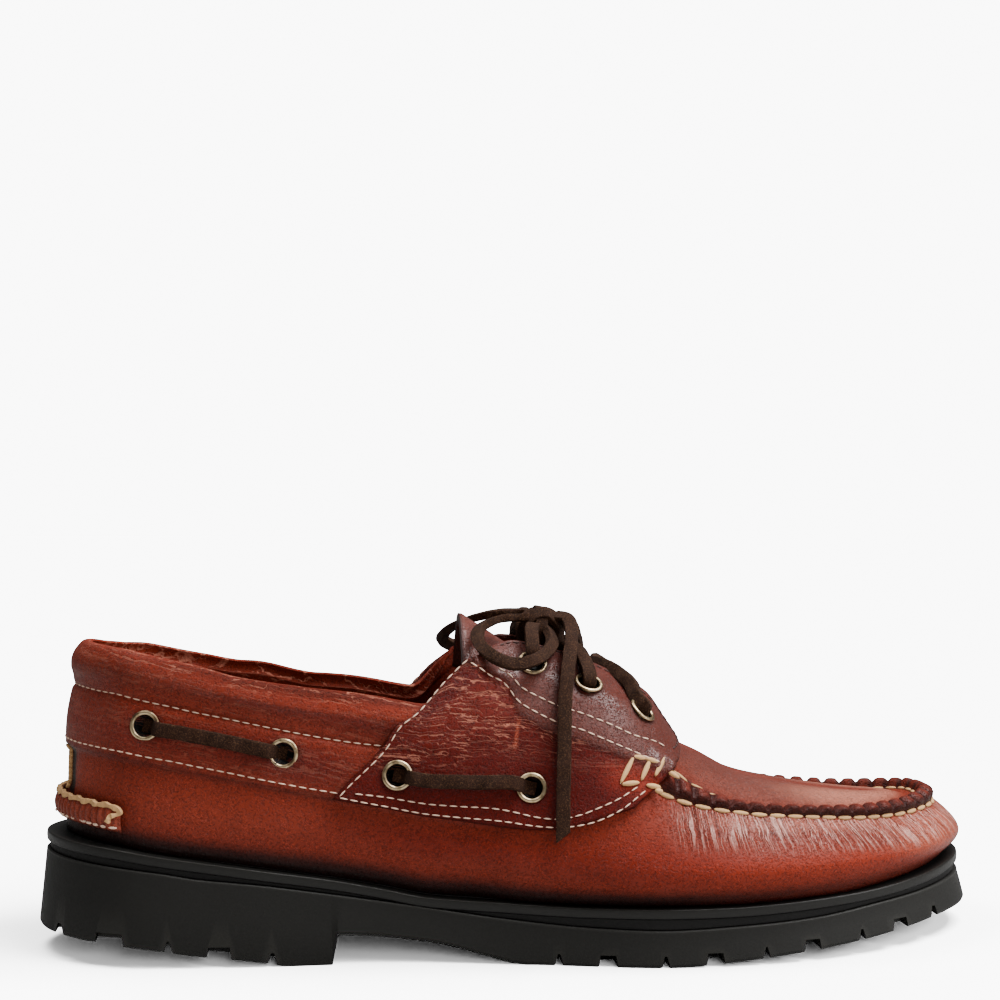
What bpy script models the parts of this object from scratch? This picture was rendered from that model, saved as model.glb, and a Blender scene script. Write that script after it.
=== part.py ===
"""A men's boat shoe for the right foot, standing empty on its lugged sole.

Metres, +Z up. +X runs from heel to toe, -Y is the outer side. The floor is at Z = 0 and the
shoe's plan is centred on X = 0, Y = 0.
"""
import math

import bmesh
import bpy
import numpy as np
from mathutils import Vector

# Driving sizes: the sole
LENGTH = 0.303
BALL_WIDTH = 0.104
HEEL_WIDTH = 0.076
HEEL_STACK = 0.0365
BALL_STACK = 0.0170
TOE_STACK = 0.0240
HEEL_BEVEL = 0.0074
TOE_SPRING = 0.0080
ARCH_RISE = 0.0089
WELT_THICK = 0.0030
BAND_RECESS = 0.0010
WALL_LEAN = 0.0022
EDGE_ROUND = 0.0010
LUG_DEPTH = 0.0052
SIPE_DEPTH = 0.0034
SIDE_LUG_REACH = 0.020
CENTRE_GROOVE = 0.0050

# Driving sizes: the upper
QUARTER_HEIGHT = 0.0600
INSTEP_HEIGHT = 0.0755
TOE_BOX_HEIGHT = 0.0270
LEATHER = 0.0022
COLLAR_PAD = 0.0030
COLLAR_BULGE = 0.0012
SEAM_HEIGHT = 0.0026
OVERLAY = 0.0015
KICKER_THICK = 0.0022
INSOLE_THICK = 0.0040
INSOLE_MARGIN = 0.0035
TONGUE_THICK = 0.0018

# Driving sizes: eyelets and lace
EYELET_OUTER = 0.0096
EYELET_HOLE = 0.0064
EYELET_HEIGHT = 0.0010
LACE_WIDTH = 0.0042
LACE_THICK = 0.0030

# Fits: the gap between pieces, what a curved piece's facets may cut into it, and how far small
# pieces sit off the leather
GAP = 0.0003
FACET = 0.00085
SEAT = 0.0007

# How finely the surfaces are faceted
AROUND = 48
STATION_CLEAR = 0.01
PLAN_POINTS = 960

# The plan of the sole: share of the length from the heel, share of the half width that the
# point follows (negative is the outer side), and which width that is
PLAN = (
    (0.000, 0.00, HEEL_WIDTH),
    (0.022, -0.49, HEEL_WIDTH),
    (0.085, -0.90, HEEL_WIDTH),
    (0.200, -1.00, HEEL_WIDTH),
    (0.360, -1.00, HEEL_WIDTH),
    (0.500, -0.845, BALL_WIDTH),
    (0.635, -1.00, BALL_WIDTH),
    (0.770, -0.955, BALL_WIDTH),
    (0.875, -0.74, BALL_WIDTH),
    (0.950, -0.44, BALL_WIDTH),
    (0.989, -0.15, BALL_WIDTH),
    (1.000, 0.13, BALL_WIDTH),
    (0.988, 0.43, BALL_WIDTH),
    (0.935, 0.74, BALL_WIDTH),
    (0.840, 0.95, BALL_WIDTH),
    (0.735, 1.00, BALL_WIDTH),
    (0.600, 0.86, BALL_WIDTH),
    (0.450, 0.63, BALL_WIDTH),
    (0.320, 0.84, HEEL_WIDTH),
    (0.190, 0.95, HEEL_WIDTH),
    (0.085, 0.89, HEEL_WIDTH),
    (0.022, 0.49, HEEL_WIDTH),
)

# The sole's side: share of the length, the height that the row follows, and the welt's top
# and the outsole's ridge as shares of it
SOLE_SIDE = (
    (0.000, HEEL_STACK, 1.000, 0.850),
    (0.080, HEEL_STACK, 0.964, 0.812),
    (0.130, HEEL_STACK, 0.905, 0.768),
    (0.170, HEEL_STACK, 0.855, 0.712),
    (0.230, HEEL_STACK, 0.780, 0.658),
    (0.300, HEEL_STACK, 0.690, 0.570),
    (0.350, HEEL_STACK, 0.610, 0.505),
    (0.400, HEEL_STACK, 0.530, 0.445),
    (0.470, BALL_STACK, 1.060, 0.780),
    (0.550, BALL_STACK, 1.000, 0.650),
    (0.630, BALL_STACK, 1.000, 0.615),
    (0.700, BALL_STACK, 1.010, 0.660),
    (0.795, BALL_STACK, 1.075, 0.745),
    (0.860, TOE_STACK, 0.800, 0.605),
    (0.930, TOE_STACK, 0.875, 0.665),
    (1.000, TOE_STACK, 1.000, 0.750),
)

# The tread's height above the floor: share of the length, the rise that the row follows, share
TREAD = (
    (0.000, HEEL_BEVEL, 1.00),
    (0.065, HEEL_BEVEL, 0.97),
    (0.130, HEEL_BEVEL, 0.72),
    (0.170, HEEL_BEVEL, 0.48),
    (0.230, HEEL_BEVEL, 0.21),
    (0.262, HEEL_BEVEL, 0.00),
    (0.303, HEEL_BEVEL, 0.00),
    (0.308, ARCH_RISE, 1.00),
    (0.400, ARCH_RISE, 0.72),
    (0.475, ARCH_RISE, 0.11),
    (0.490, ARCH_RISE, 0.00),
    (0.635, TOE_SPRING, 0.00),
    (0.710, TOE_SPRING, 0.18),
    (0.750, TOE_SPRING, 0.30),
    (0.805, TOE_SPRING, 0.46),
    (0.850, TOE_SPRING, 0.60),
    (0.907, TOE_SPRING, 0.80),
    (0.944, TOE_SPRING, 0.92),
    (1.000, TOE_SPRING, 1.00),
)

# Shares of the length where the sole's rings need a point: the heel's breast, the ends of the
# flats, and the throat's corner
SOLE_STATIONS = (TREAD[5][0], TREAD[6][0], TREAD[7][0], 0.395, 0.442, TREAD[10][0], TREAD[11][0])

# Grooves between the side lugs: share of the length from, to, and the groove's depth
SIDE_GROOVES = (
    (0.030, 0.040, SIPE_DEPTH),
    (0.076, 0.106, LUG_DEPTH),
    (0.145, 0.153, SIPE_DEPTH),
    (0.188, 0.213, LUG_DEPTH),
    (0.248, 0.257, SIPE_DEPTH),
    (0.535, 0.543, SIPE_DEPTH),
    (0.579, 0.597, LUG_DEPTH),
    (0.640, 0.648, SIPE_DEPTH),
    (0.686, 0.704, LUG_DEPTH),
    (0.744, 0.751, SIPE_DEPTH),
    (0.789, 0.807, LUG_DEPTH),
    (0.850, 0.858, SIPE_DEPTH),
    (0.893, 0.912, LUG_DEPTH),
    (0.944, 0.954, SIPE_DEPTH),
)

# Grooves between the lugs in the middle of the tread: share of the length from, to
MIDDLE_GROOVES = (
    (0.120, 0.135),
    (0.225, 0.240),
    (0.560, 0.575),
    (0.615, 0.630),
    (0.665, 0.680),
    (0.720, 0.735),
    (0.770, 0.785),
    (0.825, 0.840),
    (0.875, 0.888),
)

# Where the upper's rows of height lie between its feather edge (0) and its top edge (1)
FEATHER, BELLY, SHOULDER, CREST, INNER, MIDDLE, TOP = 0.0, 0.17, 0.38, 0.50, 0.57, 0.78, 1.0
KNOTS = (FEATHER, BELLY, SHOULDER, CREST, INNER, MIDDLE, TOP)

# Sections of the upper, each row at a share of the length. The height that the row follows,
# then for belly, shoulder, crest and inner line the inset from the sole's plan as a share of
# the ball width and the height above the welt as a share of the row's height. The middle
# line lies between inner line and top: its share of the way across, and of the way up.
SECTIONS = (
    (0.000, QUARTER_HEIGHT, 0.070, 0.20, 0.080, 0.50, 0.092, 0.68, 0.098, 0.78, 0.12, 0.58),
    (0.040, QUARTER_HEIGHT, 0.064, 0.20, 0.073, 0.50, 0.085, 0.68, 0.090, 0.78, 0.12, 0.58),
    (0.100, QUARTER_HEIGHT, 0.042, 0.20, 0.054, 0.50, 0.065, 0.69, 0.067, 0.80, 0.10, 0.52),
    (0.165, QUARTER_HEIGHT, 0.028, 0.20, 0.042, 0.50, 0.051, 0.69, 0.053, 0.79, 0.10, 0.48),
    (0.297, QUARTER_HEIGHT, 0.014, 0.21, 0.024, 0.48, 0.034, 0.67, 0.037, 0.76, 0.10, 0.50),
    (0.390, QUARTER_HEIGHT, 0.004, 0.21, 0.015, 0.50, 0.036, 0.72, 0.043, 0.81, 0.25, 0.52),
    (0.442, INSTEP_HEIGHT, 0.000, 0.17, 0.026, 0.40, 0.068, 0.65, 0.084, 0.75, 0.40, 0.54),
    (0.488, INSTEP_HEIGHT, 0.000, 0.16, 0.040, 0.41, 0.115, 0.71, 0.160, 0.81, 0.45, 0.56),
    (0.561, INSTEP_HEIGHT, -0.005, 0.15, 0.045, 0.41, 0.112, 0.63, 0.160, 0.74, 0.45, 0.58),
    (0.627, INSTEP_HEIGHT, -0.005, 0.14, 0.077, 0.37, 0.140, 0.50, 0.190, 0.58, 0.45, 0.58),
    (0.660, INSTEP_HEIGHT, -0.005, 0.14, 0.092, 0.34, 0.140, 0.41, 0.175, 0.455, 0.45, 0.66),
    (0.733, TOE_BOX_HEIGHT, -0.005, 0.37, 0.106, 0.85, 0.140, 0.960, 0.170, 0.975, 0.45, 0.68),
    (0.805, TOE_BOX_HEIGHT, -0.003, 0.37, 0.106, 0.77, 0.137, 0.875, 0.165, 0.865, 0.45, 0.66),
    (0.881, TOE_BOX_HEIGHT, 0.005, 0.33, 0.106, 0.67, 0.138, 0.775, 0.165, 0.745, 0.45, 0.62),
    (1.000, TOE_BOX_HEIGHT, 0.014, 0.23, 0.078, 0.540, 0.133, 0.670, 0.165, 0.635, 0.45, 0.60),
)

# The upper's top edge and, in front of the throat, its ridge: share of the length, the
# height that the row follows, and the height above the welt as a share of it
TOP_LINE = (
    (0.000, QUARTER_HEIGHT, 0.990),
    (0.040, QUARTER_HEIGHT, 0.990),
    (0.100, QUARTER_HEIGHT, 0.990),
    (0.165, QUARTER_HEIGHT, 0.975),
    (0.211, QUARTER_HEIGHT, 0.945),
    (0.270, QUARTER_HEIGHT, 0.945),
    (0.340, QUARTER_HEIGHT, 0.960),
    (0.390, QUARTER_HEIGHT, 0.965),
    (0.420, INSTEP_HEIGHT, 0.880),
    (0.442, INSTEP_HEIGHT, 0.950),
    (0.465, INSTEP_HEIGHT, 0.990),
    (0.488, INSTEP_HEIGHT, 1.000),
    (0.561, INSTEP_HEIGHT, 0.925),
    (0.600, INSTEP_HEIGHT, 0.855),
    (0.627, INSTEP_HEIGHT, 0.790),
    (0.660, INSTEP_HEIGHT, 0.625),
    (0.700, TOE_BOX_HEIGHT, 1.500),
    (0.733, TOE_BOX_HEIGHT, 1.280),
    (0.766, TOE_BOX_HEIGHT, 1.140),
    (0.805, TOE_BOX_HEIGHT, 1.035),
    (0.840, TOE_BOX_HEIGHT, 0.955),
    (0.885, TOE_BOX_HEIGHT, 0.850),
)

# The collar's inset from the sole's plan, and the feather edge's, as shares of the ball width
COLLAR_INSET = ((0.0, 0.144), (0.04, 0.128), (0.10, 0.100), (0.165, 0.082), (0.297, 0.068),
                (0.390, 0.080), (0.442, 0.120))
FEATHER_INSET = ((0.0, 0.067), (0.04, 0.062), (0.10, 0.048), (0.165, 0.042), (0.30, 0.039),
                 (0.56, 0.043), (0.80, 0.043), (0.88, 0.048), (1.0, 0.067))

# The throat: half its width as a share of the ball width. It closes at the plug.
THROAT = ((0.390, 0.280), (0.442, 0.260), (0.465, 0.180), (0.488, 0.130), (0.561, 0.124),
          (0.620, 0.105), (0.640, 0.082), (0.653, 0.048), (0.661, 0.0), (1.0, 0.0))
THROAT_END = 0.661
THROAT_FROM = 0.375
THROAT_STATIONS = (0.375, 0.395, 0.412, 0.427, 0.442, 0.456, 0.472, 0.490, 0.512, 0.535, 0.560,
                   0.585, 0.606, 0.624, 0.640, 0.653, THROAT_END)
RIDGE_PULL = 0.72
RIDGE_END = 0.885

# The ridge's line in plan, as a share of the ball width, and the inner side's fuller waist
RIDGE_SIDE = ((0.0, 0.0), (0.56, 0.0), (0.70, 0.010), (0.85, 0.035), (1.0, 0.045))
# How much lower the collar and the raised seam lie on the inner side, as shares of the
# quarter's and the toe box's height
INNER_DROP = ((0.0, 0.0, 0.0), (0.06, 0.03, 0.0), (0.30, 0.02, 0.0), (0.42, 0.0, 0.0),
              (0.62, 0.0, 0.0), (0.73, 0.0, 0.06), (0.90, 0.0, 0.05), (1.0, 0.0, 0.0))
INNER_SWELL = ((0.0, 0.0), (0.28, 0.004), (0.45, 0.036), (0.60, 0.028), (0.74, 0.0), (1.0, 0.0))

# Where the raised seam starts and reaches its full height
SEAM_START, SEAM_FULL = 0.618, 0.645
SEAM_MIDDLE, SEAM_HALF = 0.520, 0.060
# The collar: the heights between which its bulge rises and its padding fills out, and the
# shares of the length between which both fade towards the throat
BULGE_LOW, BULGE_HIGH = 0.54, 0.66
PAD_LOW, PAD_HIGH = 0.62, 0.85
COLLAR_FULL, COLLAR_END = 0.40, 0.46

# The saddle: along each of its edges, a share of the length for a share of the height
SADDLE_REAR = ((0.30, 0.298), (0.38, 0.313), (0.52, 0.352), (0.78, 0.378), (1.0, 0.398))
SADDLE_FRONT = ((0.30, 0.560), (0.36, 0.592), (0.43, 0.612), (0.50, 0.628), (0.59, 0.642),
                (0.77, 0.652), (1.0, 0.648))
SADDLE_FOOT = ((0.0, 0.325), (0.35, 0.318), (0.60, 0.310), (0.80, 0.300), (0.90, 0.305), (1.0, 0.330))

# The heel kicker, and the eyelets: share of the length, share of the way up the section
KICKER_END = 0.088
KICKER_LOW, KICKER_HIGH = 0.065, 0.175
KICKER_CROWN = 0.6
SIDE_EYELETS = ((0.114, 0.463), (0.254, 0.450), (0.367, 0.431), (0.499, 0.400))
FACING_EYELETS = ((0.503, 0.780), (0.552, 0.690), (0.606, 0.690))
SADDLE_EYELETS_FROM = 2

# The tongue: share of the length, half width as a share of the ball width, and the height of
# its edge and middle above the welt as shares of the instep height
TONGUE = (
    (0.438, 0.205, 0.885, 1.130),
    (0.465, 0.180, 0.850, 1.065),
    (0.495, 0.155, 0.810, 0.995),
    (0.561, 0.155, 0.765, 0.895),
    (0.627, 0.155, 0.600, 0.720),
    (0.660, 0.140, 0.475, 0.545),
    (0.690, 0.130, 0.390, 0.440),
)


# The crossed strands and the front bar over the throat. Each starts over the outer side's eyelet,
# as high as its clearance, and goes on by points at a share of the length, a share of the ball
# width to the side, and a share of the instep height above the welt: the facing's edge, the
# middle, and for the strands their ends under the other facing.
CROSS_CLEAR = 0.0043
BAR_CLEAR = 0.0056
CROSS_ROUTE = ((0.557, -0.151, 1.004), (0.528, 0.0, 0.986), (0.511, 0.070, 0.966), (0.508, 0.094, 0.953))
BAR_ROUTE = ((0.6195, -0.216, 0.840), (0.6129, -0.130, 0.894), (0.6073, 0.0, 0.898))

# The bow: the knot, and the cords' routes as chosen by hand with the points along each
KNOT_SIZE = (0.0095, 0.0084, 0.0098)
KNOT_CENTRE = (0.0076, -0.0030, 0.0986)
BOW_ROUTES = {
    "lace_riser_outer": (6, ((0.0027, -0.0236, 0.0892), (0.0027, -0.0238, 0.0932), (0.0030, -0.0178, 0.0985),
                             (0.0052, -0.0088, 0.0990))),
    "lace_riser_inner": (6, ((0.0027, 0.0236, 0.0892), (0.0027, 0.0238, 0.0932), (0.0028, 0.0168, 0.0980),
                             (0.0061, 0.0018, 0.0985))),
    "lace_loop_outer": (16, ((0.0028, -0.0080, 0.1023), (-0.0061, -0.0090, 0.1019), (-0.0126, -0.0138, 0.0996),
                             (-0.0144, -0.0210, 0.0972), (-0.0134, -0.0276, 0.0942), (-0.0092, -0.0310, 0.0912),
                             (-0.0037, -0.0312, 0.0895), (0.0025, -0.0300, 0.0906), (0.0077, -0.0238, 0.0932),
                             (0.0098, -0.0165, 0.0956), (0.0092, -0.0100, 0.0985))),
    "lace_loop_inner": (19, ((0.0035, 0.0030, 0.1032), (-0.0046, 0.0050, 0.1029), (-0.0114, 0.0100, 0.1013),
                             (-0.0176, 0.0160, 0.0986), (-0.0212, 0.0220, 0.0955), (-0.0219, 0.0275, 0.0925),
                             (-0.0175, 0.0320, 0.0900), (-0.0090, 0.0335, 0.0888), (0.0020, 0.0320, 0.0898),
                             (0.0085, 0.0240, 0.0945), (0.0098, 0.0130, 0.0985), (0.0090, 0.0048, 0.0998))),
    "lace_end_outer": (14, ((0.0122, -0.0080, 0.1023), (0.0152, -0.0100, 0.1018), (0.0163, -0.0140, 0.0992),
                            (0.0152, -0.0215, 0.0945), (0.0132, -0.0290, 0.0882), (0.0114, -0.0350, 0.0787),
                            (0.0104, -0.0400, 0.0670), (0.0094, -0.0448, 0.0527), (0.0088, -0.0485, 0.0392))),
    "lace_end_inner": (14, ((0.0125, 0.0020, 0.1020), (0.0185, 0.0080, 0.0995), (0.0225, 0.0180, 0.0925),
                            (0.0245, 0.0270, 0.0840), (0.0245, 0.0330, 0.0750), (0.0235, 0.0390, 0.0650),
                            (0.0220, 0.0438, 0.0560), (0.0210, 0.0472, 0.0460), (0.0205, 0.0490, 0.0390))),
}


def monotone(rows, columns, x):
    """Smooth curves through a table's rows that never overshoot them."""
    at = np.array([row[0] for row in rows], float)
    values = np.array([[row[c] for c in columns] for row in rows], float)
    step = np.diff(at)
    slope = np.diff(values, axis=0) / step[:, None]
    tangent = np.zeros_like(values)
    tangent[0], tangent[-1] = slope[0], slope[-1]
    before, after = slope[:-1], slope[1:]
    same = before * after > 0
    safe_before = np.where(same, before, 1.0)
    safe_after = np.where(same, after, 1.0)
    tangent[1:-1] = np.where(same, 2.0 / (1.0 / safe_before + 1.0 / safe_after), 0.0)
    x = np.clip(np.asarray(x, float), at[0], at[-1])
    i = np.clip(np.searchsorted(at, x, side="right") - 1, 0, len(at) - 2)
    h = step[i][..., None]
    u = ((x - at[i]) / step[i])[..., None]
    return (values[i] * (2 * u**3 - 3 * u**2 + 1) + tangent[i] * h * (u**3 - 2 * u**2 + u)
            + values[i + 1] * (3 * u**2 - 2 * u**3) + tangent[i + 1] * h * (u**3 - u**2))


def sized(rows, columns):
    """A table's rows with the given share columns turned into lengths."""
    return [[row[0]] + [row[1] * row[c] for c in columns] for row in rows]


def closed_spline(points, samples):
    """A smooth closed curve through the points, knots by the root of the chord."""
    p = np.array(points, float)
    count = len(p)
    chord = np.sqrt(np.linalg.norm(np.roll(p, -1, 0) - p, axis=1))
    u = np.linspace(0, 1, samples // count, endpoint=False)[:, None]
    runs = []
    for i in range(count):
        a, b, c, d = p[i - 1], p[i], p[(i + 1) % count], p[(i + 2) % count]
        ab, bc, cd = chord[i - 1], chord[i], chord[(i + 1) % count]
        start = bc * ((b - a) / ab - (c - a) / (ab + bc) + (c - b) / bc)
        end = bc * ((c - b) / bc - (d - b) / (bc + cd) + (d - c) / cd)
        runs.append((2 * u**3 - 3 * u**2 + 1) * b + (u**3 - 2 * u**2 + u) * start
                    + (3 * u**2 - 2 * u**3) * c + (u**3 - u**2) * end)
    return np.concatenate(runs)


def plan_sides():
    """The plan's outer and inner side, each from heel to toe, as turn, point and normal."""
    curve = closed_spline([(at * LENGTH, share * width / 2) for at, share, width in PLAN], PLAN_POINTS)
    low, high = curve.min(0), curve.max(0)
    curve = (curve - (low + high) / 2) * np.array((LENGTH, BALL_WIDTH)) / (high - low)
    heel, toe = curve[:, 0].argmin(), curve[:, 0].argmax()
    along = np.roll(curve, -1, 0) - np.roll(curve, 1, 0)
    normal = np.stack((-along[:, 1], along[:, 0]), 1)
    normal /= np.linalg.norm(normal, axis=1)[:, None]
    if (normal[toe] @ (1, 0)) < 0:
        normal = -normal
    sides = []
    for first, last in ((heel, toe), (toe, heel)):
        index = np.arange(first, last + 1 if last > first else last + len(curve) + 1) % len(curve)
        sides.append(index)
    outer, inner = sides[0], sides[1][::-1]
    result = []
    for index in (outer, inner):
        at = np.clip(curve[index, 0] / LENGTH + 0.5, 0, 1)
        turn = np.maximum.accumulate(np.arccos(1 - 2 * at) / math.pi)
        result.append((turn, curve[index], normal[index]))
    return result


PLAN_SIDES = plan_sides()
SIDE_LENGTHS = sized(SOLE_SIDE, (2, 3))
TREAD_LENGTHS = sized(TREAD, (2,))
TOP_LENGTHS = sized(TOP_LINE, (2,))
SECTION_LENGTHS = [[row[0], row[2] * BALL_WIDTH, row[3] * row[1], row[4] * BALL_WIDTH, row[5] * row[1],
                    row[6] * BALL_WIDTH, row[7] * row[1], row[8] * BALL_WIDTH, row[9] * row[1],
                    row[10], row[11]] for row in SECTIONS]


def at_of(turn):
    """Share of the length at a turn: 0 at the heel, 1 at the toe, fine at both ends."""
    return (1 - np.cos(np.pi * np.abs(turn))) / 2


def turn_of(at):
    return np.arccos(1 - 2 * np.asarray(at, float)) / math.pi


def wrapped(turn):
    """Turns run from -1 through the heel at 0 to 1, and meet at the toe."""
    return (np.asarray(turn, float) + 1) % 2 - 1


def plan_at(turn):
    """Plan point and outward normal at a turn, which is negative on the outer side."""
    turn = wrapped(turn)
    point = np.empty(turn.shape + (2,))
    normal = np.empty(turn.shape + (2,))
    for chosen, (turns, points, normals) in ((turn <= 0, PLAN_SIDES[0]), (turn > 0, PLAN_SIDES[1])):
        for axis in (0, 1):
            point[chosen, axis] = np.interp(np.abs(turn[chosen]), turns, points[:, axis])
            normal[chosen, axis] = np.interp(np.abs(turn[chosen]), turns, normals[:, axis])
    return point, normal / np.linalg.norm(normal, axis=-1)[..., None]


def deck(at):
    return monotone(SIDE_LENGTHS, (1,), at)[..., 0]


def ridge_height(at):
    return monotone(SIDE_LENGTHS, (2,), at)[..., 0]


def tread(at):
    return monotone(TREAD_LENGTHS, (1,), at)[..., 0]


def ease(low, high, x):
    u = np.clip((x - low) / (high - low), 0, 1)
    return u * u * (3 - 2 * u)


def guides(turn):
    """The seven lines of the upper at each turn, as an array of points."""
    turn = wrapped(turn)
    at = at_of(turn)
    side = np.where(turn <= 0, -1.0, 1.0)
    point, normal = plan_at(turn)
    floor = deck(at) + GAP
    rows = monotone(SECTION_LENGTHS, range(1, 11), at)
    swell = monotone(INNER_SWELL, (1,), at)[..., 0] * BALL_WIDTH * (side > 0)

    def line(inset, up):
        plan = point - normal * inset[..., None]
        return np.concatenate((plan, (floor + up)[..., None]), -1)

    feather = line(monotone(FEATHER_INSET, (1,), at)[..., 0] * BALL_WIDTH, np.zeros_like(at))
    belly = line(rows[..., 0] - swell, rows[..., 1])
    shoulder = line(rows[..., 2] - swell, rows[..., 3])
    drop = monotone(INNER_DROP, (1, 2), at) * (side > 0)[..., None]
    seam_drop = drop[..., 1] * TOE_BOX_HEIGHT
    crest = line(rows[..., 4] - 0.7 * swell, rows[..., 5] - seam_drop)
    inner = line(rows[..., 6] - 0.4 * swell, rows[..., 7] - seam_drop)

    collar = line(monotone(COLLAR_INSET, (1,), at)[..., 0] * BALL_WIDTH, np.zeros_like(at))
    pulled = np.where(at > RIDGE_PULL,
                      RIDGE_PULL + (at - RIDGE_PULL) * (RIDGE_END - RIDGE_PULL) / (1 - RIDGE_PULL), at)
    throat = monotone(THROAT, (1,), at)[..., 0] * BALL_WIDTH
    ridge = np.stack(((pulled - 0.5) * LENGTH,
                      monotone(RIDGE_SIDE, (1,), pulled)[..., 0] * BALL_WIDTH + side * throat), -1)
    blend = ease(0.385, 0.445, at)[..., None]
    top = np.empty(at.shape + (3,))
    top[..., :2] = collar[..., :2] * (1 - blend) + ridge * blend
    rise = monotone(TOP_LENGTHS, (1,), pulled)[..., 0]
    top[..., 2] = deck(pulled) + GAP + rise - drop[..., 0] * QUARTER_HEIGHT

    middle = np.empty_like(top)
    middle[..., :2] = inner[..., :2] + (top - inner)[..., :2] * rows[..., 8, None]
    middle[..., 2] = inner[..., 2] + (top - inner)[..., 2] * rows[..., 9]
    return np.stack((feather, belly, shoulder, crest, inner, middle, top), -2)


def smooth_surface(turn, height):
    """The upper's outside without its raised seam or collar. turn and height are of one shape."""
    turn = np.asarray(turn, float)
    height = np.clip(np.asarray(height, float), 0, 1)
    g = guides(turn)
    k = np.array(KNOTS)
    rate = np.diff(g, axis=-2) / np.diff(k)[:, None]
    gap = np.diff(k)
    tangent = np.empty_like(g)
    tangent[..., 0, :] = rate[..., 0, :]
    tangent[..., -1, :] = rate[..., -1, :]
    weight = (gap[1:] / (gap[:-1] + gap[1:]))[:, None]
    tangent[..., 1:-1, :] = rate[..., :-1, :] * weight + rate[..., 1:, :] * (1 - weight)
    i = np.clip(np.searchsorted(k, height, side="right") - 1, 0, len(k) - 2)
    pick = i[..., None, None]

    def take(a, index):
        return np.take_along_axis(a, np.broadcast_to(index, index.shape[:-1] + (3,)), -2)[..., 0, :]

    h = gap[i][..., None]
    u = ((height - k[i]) / gap[i])[..., None]
    return (take(g, pick) * (2 * u**3 - 3 * u**2 + 1) + take(tangent, pick) * h * (u**3 - 2 * u**2 + u)
            + take(g, pick + 1) * (3 * u**2 - 2 * u**3) + take(tangent, pick + 1) * h * (u**3 - u**2))


def outward(turn, height):
    """Unit normals of the smooth surface."""
    reach = 0.004
    low = np.clip(np.asarray(height, float) - reach, 0, 1)
    high = np.clip(np.asarray(height, float) + reach, 0, 1)
    along = smooth_surface(turn + reach, height) - smooth_surface(turn - reach, height)
    up = smooth_surface(turn, high) - smooth_surface(turn, low)
    normal = np.cross(up, along)
    size = np.linalg.norm(normal, axis=-1)[..., None]
    return np.where(size > 1e-12, normal / np.maximum(size, 1e-12), (0.0, 0.0, 1.0))


def relief(turn, height):
    """How far the upper stands proud of the smooth surface: raised seam and padded collar."""
    at = at_of(wrapped(turn))
    height = np.asarray(height, float)
    bump = np.clip(1 - ((height - SEAM_MIDDLE) / SEAM_HALF)**2, 0, 1)
    seam = SEAM_HEIGHT * bump * ease(SEAM_START, SEAM_FULL, at)
    collar = COLLAR_BULGE * ease(BULGE_LOW, BULGE_HIGH, height) * ease(COLLAR_END, COLLAR_FULL, at)
    return seam + collar


def upper_surface(turn, height, lift=0.0):
    turn, height = np.broadcast_arrays(np.asarray(turn, float), np.asarray(height, float))
    proud = (relief(turn, height) + lift)[..., None]
    return smooth_surface(turn, height) + outward(turn, height) * proud


# Building helpers

def clear_scene():
    for thing in list(bpy.data.objects):
        bpy.data.objects.remove(thing)


def collection(name):
    made = bpy.data.collections.new(name)
    bpy.context.scene.collection.children.link(made)
    return made


def material(name, colour, roughness, metallic=0.0):
    made = bpy.data.materials.new(name)
    made.use_nodes = True
    shader = made.node_tree.nodes["Principled BSDF"]
    shader.inputs["Base Color"].default_value = (*colour, 1)
    shader.inputs["Roughness"].default_value = roughness
    shader.inputs["Metallic"].default_value = metallic
    return made


def add_object(name, mesh, finish, home):
    thing = bpy.data.objects.new(name, mesh)
    home.objects.link(thing)
    if finish is not None:
        mesh.materials.append(finish)
    return thing


def mesh_from(name, points, faces, smooth=True):
    """A mesh with its doubled points merged and its faces turned outwards."""
    mesh = bpy.data.meshes.new(name)
    work = bmesh.new()
    verts = [work.verts.new(p) for p in points]
    for face in faces:
        work.faces.new([verts[i] for i in face])
    bmesh.ops.remove_doubles(work, verts=work.verts, dist=1e-6)
    bmesh.ops.recalc_face_normals(work, faces=work.faces)
    work.to_mesh(mesh)
    work.free()
    if smooth:
        mesh.shade_smooth()
        mesh.set_sharp_from_angle(angle=math.radians(40))
    return mesh


def ring_turns():
    """Turns once round the shoe. The heel's breast and flats get stations of their own."""
    even = np.linspace(0, 1, AROUND // 2 + 1)
    flats = [turn_of(at) for at in SOLE_STATIONS]
    kept = [t for t in even if min(abs(t - f) for f in flats) > STATION_CLEAR]
    half = np.array(sorted(kept + flats))
    return half


def stack_mesh(name, rings):
    """A closed solid through rings of points, each ring running heel, outer side, toe, inner side."""
    count = len(rings[0])
    half = count // 2
    points = [p for ring in rings for p in ring]
    faces = []
    for r in range(len(rings) - 1):
        for i in range(count):
            j = (i + 1) % count
            faces.append((r * count + i, r * count + j, (r + 1) * count + j, (r + 1) * count + i))
    for base in (0, (len(rings) - 1) * count):
        for i in range(half):
            a, b = i, i + 1
            c, d = (count - i - 1) % count, (count - i) % count
            corners = []
            for k in (a, b, c, d):
                if base + k not in corners:
                    corners.append(base + k)
            faces.append(corners)
    return mesh_from(name, points, faces)


def sole_ring(inset, height):
    """One ring round the plan at an inset. height is a function of the share of the length."""
    half = ring_turns()
    turns = np.concatenate((-half, half[-2:0:-1]))
    point, normal = plan_at(turns)
    at = at_of(turns)
    plan = point - normal * np.asarray(inset)
    return np.concatenate((plan, height(at)[:, None]), 1).tolist()


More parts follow.
